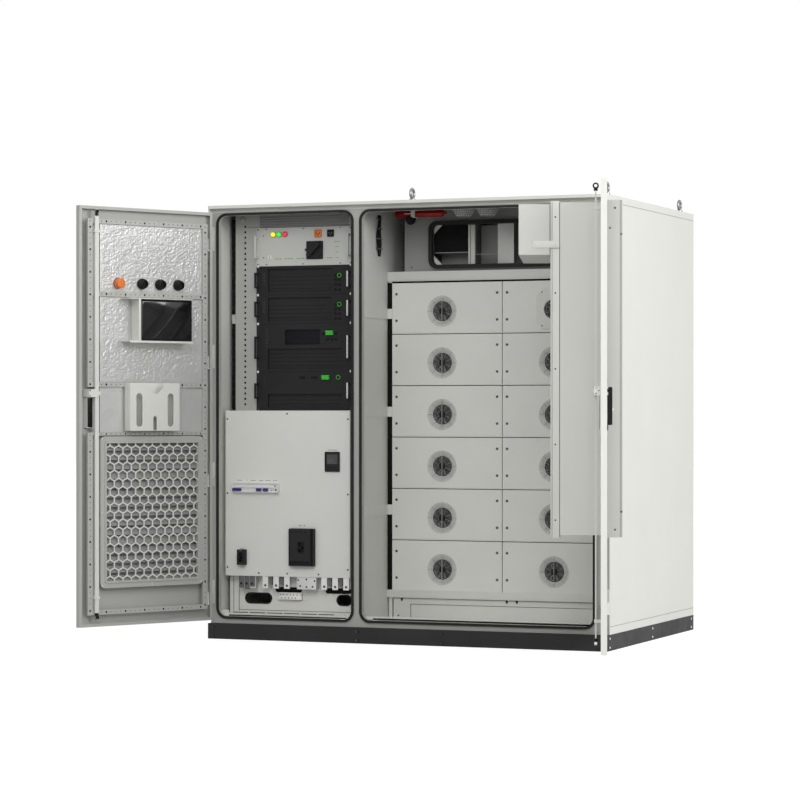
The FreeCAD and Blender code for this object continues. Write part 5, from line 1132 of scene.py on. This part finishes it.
# %% Cover details
COVER = 100.0
meter = [rim(546, 619, 771, 862, 4.0, 92, 100, 3, 1.0), plate(550, 615, 775, 858, 95.5, 100, 1, 0.4)]
make_piece("meter_frame", meter, "dark_case")
make_piece("meter_glass", [plate(556, 609, 806, 850, 94.6, 96, 2, 0.4)], "screen_glass")
meter_marks = [(568 + 8 * k, 573 + 8 * k, 824, 826.4) for k in range(4)] + [(560, 584, 816, 817.6)]
make_piece("meter_marks", bars(meter_marks, 94.3, 95, 0.3, 0.12), "grey_plastic")
make_piece("meter_keys", [dots([(565 + 12 * k, 789) for k in range(4)], 3.2, 93.6, 96)], "black_plastic")
strip = [rim(85, 317, 673, 716, 2.4, 78, 100, 2, 0.6), plate(87, 315, 675, 714, 84, 100, 1, 0.4),
         plate(87, 315, 695, 697, 79.5, 85, 0.6, 0.4, 1)]
make_piece("strip_body", strip, "white_plastic")
blue_ranges = [(86.5, 136), (207, 237), (241, 273)]
plugs = [(x + 0.4, x + 8.4, 679, 692) for x0, x1 in blue_ranges for x in np.arange(x0, x1 - 7, 9.0)]
make_piece("strip_plugs", bars(plugs, 76.5, 85, 0.8, 0.6), "blue_plastic")
make_piece("strip_plug_wells", [dots([((x0 + x1) / 2, 686) for x0, x1, _, _ in plugs], 2.0, 76.2, 77.5, 8)],
           "dark_ink")
ports = [(280, 287, 682, 686), (290, 295, 683, 686), (301, 309, 681, 688), (299, 303, 699, 708)]
make_piece("strip_ports", bars(ports, 83.5, 85, 0.6, 0.2), "dark_ink")

# %% Breakers
BREAKER = 74.0
case_lines = [(374, 378.5, 341, 506), (481, 482.4, 341, 506), (496 - 10.5, 494.5, 341, 506)]
make_piece("breaker_seams", bars(case_lines, BREAKER - 0.6, BREAKER + 0.6, 0.4, 0.2), "dark_ink")
make_piece("breaker_blue_band", bars([(380, 480, 344, 362)], BREAKER - 0.5, BREAKER + 0.5, 0.8, 0.2),
           "dark_floor")
terminals = [(x, z) for x in (390, 412, 434, 456) for z in (352, 494)]
make_piece("breaker_terminals", [dots(terminals, 4.6, BREAKER - 0.8, BREAKER + 1, 14)], "black_plastic")
make_piece("breaker_bezel", [rim(420, 450, 397, 450, 2.2, BREAKER - 1.4, BREAKER + 1, 2, 0.5)],
           "black_plastic")
make_piece("small_breaker_bezel", [rim(121, 141, 348, 398, 1.8, BREAKER - 1.2, BREAKER + 1, 1.5, 0.4)],
           "dark_case")
make_piece("small_breaker_mark", bars([(127, 135, 401, 404), (125, 129, 341, 344), (133, 137, 341, 344)],
                                      BREAKER - 0.4, BREAKER + 0.4, 0.4, 0.12), "grey_plastic")
cover_screws = [(52, COVER, z) for z in (325, 668, 1011)] + [(658, COVER, z) for z in (325, 668, 1011)]
cover_screws += [(355, COVER, 1036), (355, COVER, 301), (212, COVER, 301), (512, COVER, 301)]
add_screws("cover_screws", cover_screws, 4.4, 1.8, finish_name="dark_steel")
pale = [(100, 128, 727, 729), (150, 156, 728, 730), (170, 196, 727, 729), (214, 234, 727, 729),
        (246, 272, 727, 729), (284, 306, 727, 729), (560, 606, 869, 871), (416, 428, 521, 524),
        (438, 446, 521, 524), (118, 134, 411, 413)]
make_piece("cover_pale_marks", bars(pale, COVER - 0.25, COVER + 0.3, 0.4, 0.1), "grey_plastic")

# %% [markdown]
# ### Tabs, blocks and the cable plate

# %% Tabs and the cable plate
TAB_FACE = 108.0
tab_left = [227 + 54.5 * k for k in range(3)] + [523 + 54.5 * k for k in range(3)]
bolts = [(x + 14, TAB_FACE, 245) for x in tab_left]
add_screws("tab_bolts", bolts, 6.2, 3.2, finish_name="dark_steel")
make_piece("tab_isolators", [plate(x + 33, x + 48, 247, 286, 112, 132, 1.5, 0.8)
                             for x in tab_left[:2] + tab_left[3:5]], "grey_plastic")
make_piece("six_hole_block", [plate(402, 499, 230, 287, 104, 110, 2, 1.2)], "white_plastic")
six = [(409, 272), (450, 276), (491, 270), (419, 246), (450, 242), (481, 243)]
make_piece("six_hole_wells", [dots(six, 4.6, 103.6, 105, 14)], "dark_ink")
signal = [plate(110 + 27.5 * k, 133 + 27.5 * k, 231 + drop, 287, 102, 112, 2, 1.2) for k,
          drop in ((0, 0), (1, -6), (2, 6))]
make_piece("signal_blocks", signal, "grey_plastic")
make_piece("signal_wells", bars([(117 + 27.5 * k, 126 + 27.5 * k, 246, 256) for k in range(3)], 101.6, 103,
                                0.8, 0.2), "dark_ink")
earth = [plate(296, 413, 179, 209, 132, 139, 2, 1.0)]
make_piece("earth_bar", earth, "tinned_copper")
earth_holes = [(306 + 17 * k, 202) for k in range(7)] + [(314 + 17 * k, 187) for k in range(5)]
make_piece("earth_screws", [dots(earth_holes, 3.0, 130.8, 133, 10)], "dark_steel")


def cable_mouth(x0, x1, z0, z1):
    """A rubber edging round a mouth with round ends."""
    return rim(x0 - 4, x1 + 4, z0 - 4, z1 + 4, 5.5, 146, 154, (z1 - z0) / 2 + 3.9, 1.4, 8)


make_piece("mouth_edging", [cable_mouth(123, 253, 160, 204), cable_mouth(585, 655, 160, 204)],
           "seal_rubber")
half_mouths = [plate(275, 407, 211, 236, 148.4, 150.4, 12, 0.3, 6),
               plate(527, 655, 211, 236, 148.4, 150.4, 12, 0.3, 6)]
make_piece("half_mouths", half_mouths, "dark_ink")
plate_lines = [(88, 90, 122, 226), (60, 62, 122, 280), (90, 650, 126, 127.6)]
make_piece("cable_plate_lines", bars(plate_lines, 148.6, 150.4, 0.5, 0.2), "dark_steel")
sill_slots = [(98 + 86 * k, 176 + 86 * k, 119.4, 122.6) for k in range(6)]
make_piece("sill_slots", bars(sill_slots, 61, 63, 0.8, 0.2), "dark_ink")

# %% [markdown]
# ## The right bay
#
# Twelve packs stand in two columns, and each front carries the same things: four
# screws, a wire guard over the fan's dish, and the edge of its pressed dish. So one
# pack's fittings are made once and repeated at twelve corners.

# %% Pack fronts
PACK_FACE, PACK_LEFT, PACK_LOW, PACK_WIDE, PACK_PITCH = 352.0, 772.0, 222.8, 542.0, 237.1
FAN_X, FAN_Z = 248.0, 98.0
corners = [(PACK_LEFT + column * PACK_WIDE, PACK_LOW + row * PACK_PITCH) for column in range(2)
           for row in range(6)]
fans = [(x + FAN_X, 0, z + FAN_Z) for x, z in corners]
MASTER = fans[-1]
pack_screws = [(x + dx, PACK_FACE, z + dz) for x, z in corners for dx in (23, 517) for dz in (56.5, 179)]
add_screws("pack_screws", pack_screws, 4.6, 1.4, finish_name="dark_steel")
washer = turned(0, 0, [(PACK_FACE, 6.6), (PACK_FACE - 0.5, 6.4), (PACK_FACE - 0.6, 5.0)], 16)
make_piece("pack_washers", [repeated(washer, [(x, 0, z) for x, _, z in pack_screws])], "grey_plastic")


def wire_ring(radius, depth, wire, steps=40):
    """A ring of wire round the fan's middle."""
    angles = np.linspace(0, 2 * math.pi, steps, endpoint=False)
    path = np.stack([radius * np.cos(angles), np.full(steps, depth), radius * np.sin(angles)], 1)
    return tube(path, wire, 6, closed=True)


def spoke(angle, inner, outer, depth, wire):
    """One straight wire outwards from the fan's middle."""
    way = np.array([math.cos(angle), 0, math.sin(angle)])
    return tube(np.array([[inner], [outer]]) * way + [0, depth, 0], wire, 6)


inner_rings = [wire_ring(radius, 355.6, 0.5, 32) for radius in (19, 24.5, 30, 35.5, 41)]
inner_spokes = [spoke(math.radians(22.5 + 45 * k), 14, 44, 356.0, 0.5) for k in range(8)]
make_piece("guard_inner_wires", [repeated(together(inner_rings + inner_spokes), fans)], "guard_wire")
outer_rings = [wire_ring(radius, PACK_FACE + 0.6, 0.9, 48) for radius in (50, 55, 60, 65, 70)]
outer_spokes = [spoke(math.radians(45 * k), 47, 72, PACK_FACE + 0.9, 1.1) for k in range(8)]
make_piece("guard_outer_wires", [repeated(together(outer_rings + outer_spokes), fans[:-1])], "guard_wire")
make_piece("dish_rims", [repeated(wire_ring(71.8, PACK_FACE, 0.9, 56), fans[:-1])], "pack_case")
long_wire = spoke(math.radians(90), -72, 72, PACK_FACE - 0.6, 1.3)
make_piece("guard_long_wires", [repeated(long_wire, fans[:-1])], "bright_steel")
hubs = turned(0, 0, [(356.4, 13.5), (354.2, 13.5), (353.6, 12.6), (353.4, 5), (353.4, 0.1)], 24)
make_piece("guard_hubs", [repeated(hubs, fans)], "black_plastic")

# %% [markdown]
# The top right pack is the one that switches the others, and its fan stands in a
# pale plate with cut corners.


# %% Plate of the top right pack
def octagon_hole(x, z, wide, high, cut, hole, near, far):
    """The same plate with a round hole: border and hole are given the same number of points."""
    steps = 6
    half = np.array([wide / 2, high / 2])
    eight = np.array([(half[0], -half[1] + cut), (half[0], half[1] - cut), (half[0] - cut, half[1]),
                      (-half[0] + cut, half[1]), (-half[0], half[1] - cut), (-half[0], -half[1] + cut),
                      (-half[0] + cut, -half[1]), (half[0] - cut, -half[1])])
    share = (np.arange(steps) / steps)[None, :, None]
    border = (eight[:, None] * (1 - share) + np.roll(eight, -1, 0)[:, None] * share).reshape(-1, 2)
    turn = np.arctan2(border[:, 1], border[:, 0])
    circle = hole * np.stack([np.cos(turn), np.sin(turn)], 1)
    rings = [np.insert(ring + [x, z], 1, depth, 1) for ring,
             depth in ((border, far), (border, near + 0.5), (border * 0.994, near), (circle * 1.01, near),
                       (circle, near + 0.5), (circle, far))]
    return skin(rings, wrap=True)


make_piece("master_plate", [octagon_hole(MASTER[0], 1509.4, 164, 182, 30, 46.5, 346.5, PACK_FACE)],
           "cabinet_paint")
add_screws("master_screws", [(MASTER[0] + dx, 346.5, 1509.4 + dz) for dx in (-55, 55) for dz in (-76, 76)],
           3.4, 1.4, finish_name="dark_steel")

# %% [markdown]
# ### Beams, gaps and ties round the packs

# %% Beside and below the packs
TIES = (570, 1022, 1474)
gap = [plate(748.2, 770, 223, 1640, 357, 361, 0.6, 0.3, 1)]
make_piece("pack_side_gap", gap, "dark_ink")
ties = [plate(747.6, 773, z, z + 46, 349, 356.5, 1, 0.6) for z in TIES]
ties += [standing_side(746.5, 750, 62, 352, z + 1, z + 47) for z in TIES]
seams = [plate(773, 1855, z + 232.4, z + 236.9, 352.6, 358, 1, 0.6) for _, z in corners[:5]]
make_piece("pack_shelf_edges", seams, "pack_case")
make_piece("pack_side_ties", ties, "cabinet_paint")
make_piece("pack_beam_faces", [plate(748, 1858, 1645.5, 1691, 357.5, 361.9, 1, 0.8),
                               plate(748, 1858, 187, 222.6, 350.5, 361.9, 1, 0.8)], "inner_paint")
make_piece("pack_beam_gap", bars([(773, 1855, 1637.8, 1645.6)], 351.6, 356, 0.6, 0.2), "dark_ink")
make_piece("beam_dots", [dots([(817, 181), (1332, 181), (1381, 181)], 5.5, 360.5, 362.5, 12)], "dark_ink")

# %% [markdown]
# ### Shade sheets
#
# A near-black sheet under the roof and a darker sheet on the wall beside the rack are painted shade.

# %% Linings
ceiling_shade_sheets = [lying_plate(x0, x1, 38, 640, 1985.5, 1988.5, 1, 0.5) for x0, x1 in ((8, 711), (749, 1918))]
make_piece("roof_shade_sheet", ceiling_shade_sheets, "ceiling_shade_black")
# The wall sheet wears the darker copy of the cabinet paint: painted shade.
make_piece("wall_shade_sheet", [standing_side(5, 7, 40, 172, 104, 1984, 1, 0.4)], "cabinet_paint_in_shade")

# %% [markdown]
# ### Under the roof
#
# A red extinguisher bottle hangs in a strap, with a smoke head below it, and two
# perforated horns point down beside it. A horn is a short cone, and where the edges
# of its holes catch the light, rows of pale beads on its slope are painted highlights.

# %% Bottle, smoke head and horns
BOTTLE_Y, BOTTLE_Z = 300.0, 1953.0
bottle = [(812, 0.5), (812.4, 9), (815, 15), (820, 17.6), (1040, 17.6), (1046, 15), (1050, 9), (1051, 7),
          (1062, 7), (1062, 0.5)]
rows = np.asarray(bottle, float)
ring_ways = circle_outline(1.0, 28)[0]
bottle_rings = np.stack([np.stack([np.full(28, x), BOTTLE_Y + radius * ring_ways[:, 0],
                                   BOTTLE_Z + radius * ring_ways[:, 1]], 1) for x, radius in rows])
make_piece("bottle", [skin(bottle_rings)], "red_paint", stands_for=("fire_fittings",))
strap_pieces = [plate(895, 915, 1934, 1990, BOTTLE_Y - 19.6, BOTTLE_Y - 17.4, 1, 0.5),
                plate(895, 915, 1933, 1935.4, BOTTLE_Y - 19, BOTTLE_Y + 19, 1, 0.5),
                plate(860, 900, 1950, 1954, BOTTLE_Y - 20.4, BOTTLE_Y - 18, 1, 0.5)]
make_piece("bottle_strap", strap_pieces, "cabinet_paint")
head_rows = [(1936, 26), (1932, 26), (1927, 25.5), (1918, 23), (1909, 17), (1903, 9), (1901.5, 0.5)]
make_piece("smoke_head", [turned_up(886, BOTTLE_Y, head_rows, 28),
                          turned_up(886, BOTTLE_Y, [(1988, 8), (1934, 8)], 12)], "dark_floor")
horn_rows = [(1990, 52), (1969, 52), (1967, 50.5), (1934, 31), (1932, 29), (1932, 26), (1940, 26)]
horns = [turned_up(x, BOTTLE_Y, horn_rows, 32) for x in (1147, 1262)]
make_piece("ceiling_horns", horns, "shadow_and_seam_paint")


def horn_highlights(x):
    """Pale studs in four staggered rows on a horn's sloping side, all standing upright."""
    shapes = []
    for row in range(4):
        share = (row + 0.5) / 4
        radius, height = 50.5 - 19.5 * share, 1967 - 33 * share
        for k in range(18):
            angle = 2 * math.pi * (k + 0.5 * (row % 2)) / 18
            point = [x + radius * math.cos(angle), BOTTLE_Y + radius * math.sin(angle), height]
            shapes.append(point)
    bead = turned_up(0, 0, [(-2.6, 0.4), (-2.0, 2.2), (0, 3.0), (2.0, 2.2), (2.6, 0.4)], 8)
    return repeated(bead, shapes)


# Pale beads on the horns: painted highlights on the edges of their holes.
make_piece("horn_painted_highlights", [horn_highlights(1147), horn_highlights(1262)], "white_plastic")

# %% [markdown]
# ### The duct's mouth
#
# Behind the sealed mouth stand a black flap on the left, a pillar and two panels.
# They stand at different depths, because that is what the eye reads in there.

# %% Inside the duct
make_piece("duct_flap", [plate(973, 1134, 1779, 1900, 388, 392, 2, 0.8)], "dark_ink")
make_piece("duct_pillar", [plate(1136, 1168, 1722, 1902, 386, 400, 2, 1.2)], "inner_paint")
# The back panels and the shelf lines in the duct wear the dark grey as painted shadow.
make_piece("duct_shaded_panel", [plate(1168, 1280, 1722, 1902, 470, 476, 2, 0.8),
                               plate(973, 1136, 1722, 1778, 470, 476, 2, 0.8)], "shadow_and_seam_paint")
make_piece("duct_light_panel", [plate(1276, 1354, 1718, 1904, 396, 400, 2, 0.8)], "inner_paint")
make_piece("duct_shelf_line", bars([(973, 1136, 1774, 1778), (1170, 1276, 1764, 1767)], 386, 396, 0.5, 0.3),
           "shadow_and_seam_paint")


def mouth_corner(x, z, left, up):
    """A pale gusset in a corner of the mouth: a quarter ring cut square."""
    reach = 40
    arc = np.radians(np.linspace(0, 90, 7))
    points = np.array([(0, reach), (0, 24)] + [(24 - 24 * math.cos(a), 24 - 24 * math.sin(a))
                                               for a in arc] + [(reach, 0)])
    points = points * [1 if left else -1, -1 if up else 1] + [x, z]
    return skin([np.insert(points, 1, depth, 1) for depth in (384.5, 387)])


gussets = [mouth_corner(969, z, True, up) for z, up in ((1903, True), (1721, False))]
make_piece("mouth_gussets", gussets, "cabinet_paint")
sheet_marks = [(806, 809, 1905, 1912), (814, 817, 1708, 1715), (822, 825, 1708, 1715)]
make_piece("duct_sheet_marks", bars(sheet_marks, 379.4, 380.4, 0.5, 0.2), "dark_ink")
add_screws("duct_screws", [(x, 380, z) for x in (860, 1690) for z in (1712, 1960)], 4, 1.6,
           finish_name="dark_steel")

# %% [markdown]
# Cables pass the partition through its slot, bundled and tied: four tubes that
# wander a little, with a tie every few centimetres.

# %% Cables in the partition's slot
heights = np.linspace(1758, 1945, 40)
cables = []
for k in range(4):
    sway = 6 * np.sin(heights / 23 + 1.7 * k) + (k - 1.5) * 9
    path = np.stack([np.full(40, 752.0) + 2 * np.cos(heights / 31 + k), 246 + sway, heights], 1)
    cables.append(tube(path, 4.2, 8))
make_piece("slot_cables", cables, "black_plastic")
cable_ties = [plate(747, 760, z, z + 4, 222, 270, 1, 0.6) for z in (1790, 1836, 1882, 1928)]
make_piece("slot_cable_ties", cable_ties, "grey_plastic")

# %% [markdown]
# ## The right door
#
# The cooler hangs through this door. Its inner cover is screwed along the side that
# faces the door's free edge, and a strap holds the air nozzle to it. These pieces
# lie on an end face, so a flat piece is made lying across the depth as usual and
# then has its first two axes exchanged.

# %% End faces of the cooler
def end_plate(y0, y1, z0, z1, near, far, radius=1.0, edge=0.5):
    """A flat piece on an end face: its spread is depth and height, and its thickness runs across the door."""
    return swapped(plate(y0, y1, z0, z1, near, far, radius, edge), (1, 0, 2))


def end_screws(name, places, radius, rise, finish_name="dark_steel"):
    """Pan heads on an end face, at places (across the door, depth, height)."""
    points, faces = pan_head(0, radius, rise)
    head = swapped((points * [1, -1, 1], faces), (1, 0, 2))
    make_piece(name, [repeated(head, places)], finish_name, "right_door_leaf")


COVER_END, BOX_END = 937.0, 949.0
make_piece("cooler_cover_strip", [end_plate(188.5, 216, 538, 1889, COVER_END - 1, COVER_END + 1.4),
                                  end_plate(217.5, 222, 538, 1889, COVER_END - 1, COVER_END + 2.4)],
           "cabinet_paint", "right_door_leaf")
make_piece("cooler_cover_seams", [end_plate(185.2, 187.2, 540, 1886, COVER_END - 1, COVER_END + 0.5, 0.5,
                                            0.2), end_plate(216.0, 217.4, 540, 1886, COVER_END - 1,
                                                            COVER_END + 0.7, 0.5, 0.2)], "dark_ink",
           "right_door_leaf")
end_screws("cooler_cover_screws", [(COVER_END + 1.4, 203.5, z) for z in (1826, 1521, 1216, 912, 608)], 3.6,
           1.8)
make_piece("nozzle_strap", [end_plate(187, 292, 1702, 1730, 942.2, 945, 1.5, 0.8)], "cabinet_paint",
           "right_door_leaf")
end_screws("nozzle_strap_screws", [(945, 262, 1716), (945, 281, 1716), (945, 203, 1716)], 3.4, 1.8,
           "bright_steel")
make_piece("nozzle_seams", [end_plate(223.4, 227.4, 1677, 1876, 941.4, 942.6, 0.5, 0.2)], "shadow_and_seam_paint",
           "right_door_leaf")

# %% Cover on the cooler's outer box
# The end cover of the cooler's outer box wears the darker copy of the cabinet paint: painted shade.
make_piece("outer_box_end", [end_plate(-64.5, -5, 540, 1893, BOX_END - 1, BOX_END + 0.9)], "cabinet_paint_in_shade",
           "right_door_leaf")
make_piece("outer_box_seams", [end_plate(-60.4, -59.2, 541, 1892, BOX_END, BOX_END + 1.3, 0.4, 0.2),
                               end_plate(-56.8, -55.8, 541, 1892, BOX_END, BOX_END + 1.3, 0.4, 0.2)],
           "dark_ink", "right_door_leaf")
end_screws("outer_box_screws", [(BOX_END + 0.9, y, z) for y,
                                z in ((-35.5, 1861), (-15.5, 1781), (-60, 1756), (-61, 643), (-35.5, 571))],
           4.6, 2.0)

# %% [markdown]
# ### Lock, rods and handle
#
# At the top of the rod sits a guide roller, seen from its end as a black ring with a
# pale middle. The lock is a turned barrel on the outside, beside the black lever.

# %% Roller, lock and lever
def ring_across(x, y, z, outer, inner, wide):
    """A tyre whose axle runs across the door: a flat band bent round, with eased edges."""
    rows = [(-wide / 2, outer - 0.8), (-wide / 2 + 0.8, outer), (wide / 2 - 0.8, outer),
            (wide / 2, outer - 0.8), (wide / 2, inner), (-wide / 2, inner)]
    angles = np.linspace(0, 2 * math.pi, 28, endpoint=False)
    rings = [np.stack([np.full(28, x + across), y + radius * np.cos(angles), z + radius * np.sin(angles)],
                      1) for across, radius in rows]
    return skin(np.array(rings), wrap=True)


ROD_DEPTH = 41
PLAIN_TYRE = 8.1
TYRE_SIZES = {("right", "upper"): 12.5, ("left", "upper"): 7.3}
for side, x in (("left", 650.0), ("right", 1119.0)):
    for end, z in (("upper", 1936.0), ("lower", 129.0)):
        outer = TYRE_SIZES.get((side, end), PLAIN_TYRE)
        hub = swapped(turned(ROD_DEPTH, z, [(x - 8.8, 6.2), (x + 8.8, 6.2)], 20), (1, 0, 2))
        make_piece(f"{side}_{end}_tyre", [ring_across(x, ROD_DEPTH, z, outer, 5.6, 16)], "black_plastic",
                   f"{side}_{end}_rod")
        make_piece(f"{side}_{end}_tyre_hub", [hub], "bright_steel", f"{side}_{end}_rod")
for side, places in (("right", (1108, 1158)), ("left", (639, 689))):
    add_screws(f"{side}_lock_screws", [(x, 47.4, z) for x in places for z in (1115, 1139)], 3.4, 1.8,
               f"{side}_door_leaf", "dark_steel", facing=1)
end_screws("right_lock_end_screws", [(1163.7, 40, 1138), (1163.7, 40, 1116), (1163.7, 28, 1127)], 3.2, 0.7)
for side, x in (("left", 676.0), ("right", 1145.0)):
    edging = [rim(x - 15, x + 15, 970.5, 1109.5, 2.6, -8.2, -3.2, 4, 0.7)]
    make_piece(f"{side}_dish_edging", edging, "black_plastic", f"{side}_door_leaf")
    back = [plate(x - 13, x + 13, 974, 1106, 24.6, 26.4, 3, 0.6)]
    make_piece(f"{side}_dish_back", back, "black_plastic", f"{side}_door_leaf")
    grip = [plate(x - 12.5, x + 12.5, 993, 1139, -24.6, -21.6, 6, 1.4)]
    make_piece(f"{side}_handle_cap", grip, "black_plastic", f"{side}_lever")
    keyhole = [turned(x, 1052, [(-24.4, 9.0), (-27.0, 9.0), (-28.0, 8.2), (-28.0, 5.4), (-27.2, 5.2),
                                (-27.2, 0.1)], 28)]
    make_piece(f"{side}_handle_barrel", keyhole, "bright_steel", f"{side}_lever")

# %% [markdown]
# ## Below the packs, the plinth and the shell
#
# A low panel closes the space below the packs. The plinth is bolted in pairs, and
# the shell shows a seam along its base and another under the roof.

# %% Low panel and sill
low_panel = [plate(775.5, 1851.5, 82, 184.5, 363, 365.5, 1, 0.6),
             plate(864, 1851.4, 86, 156, 361.2, 363.4, 1, 0.6)]
make_piece("low_panel", low_panel, "inner_paint")
make_piece("low_panel_seams", bars([(860, 1851, 156.8, 158.6), (860.6, 862.6, 84, 158)], 361.9, 363.6, 0.5,
                                   0.2), "dark_ink")
add_screws("low_panel_screws", [(x, 363, z) for x, z in ((817, 174), (1332, 174), (1381, 174), (800, 104))],
           4.2, 1.6, finish_name="dark_steel")
make_piece("sill_steps", [plate(770, 1846, 103, 112, 62, 64.5, 1, 0.6),
                          plate(58, 700, 103, 110, 62, 64.5, 1, 0.6)], "inner_paint")
corner_pieces = [plate(757, 799, 104, 118, 56, 60, 2, 0.8), plate(44, 80, 104, 131, 56, 60, 2, 0.8),
                 plate(668, 703, 104, 126, 56, 60, 2, 0.8)]
make_piece("sill_corner_pieces", corner_pieces, "cabinet_paint")
add_screws("sill_screws", [(x, 62, 108) for x in (824, 1741, 1773)], 4.0, 1.8, finish_name="dark_steel")

# %% Plinth bolts and the shell's seams
bolts = [(x, 0, z) for x in (27, 745.5, 1153.5, 1899) for z in (54, 15)]
bolt_head = turned(0, 0, [(0.2, 5.2), (-1.2, 5.2), (-2.4, 4.4), (-2.9, 2.4), (-3.0, 0.1)], 16)
make_piece("plinth_bolts", [repeated(bolt_head, bolts)], "white_plastic")
side_head = swapped((bolt_head[0] * [1, -1, 1], bolt_head[1]), (1, 0, 2))
side_bolts = [(CABINET[0], y, z) for y in (40, 680, 1316) for z in (54, 15)]
make_piece("plinth_side_bolts", [repeated(side_head, side_bolts)], "white_plastic")
wall_seams = [standing_side(x - 0.5, x + 0.5, 4, 1352, z, z + 2.6, 1.0, 0.2) for x in (0, CABINET[0])
              for z in (104, 1959)]
make_piece("wall_seams", wall_seams, "shadow_and_seam_paint")
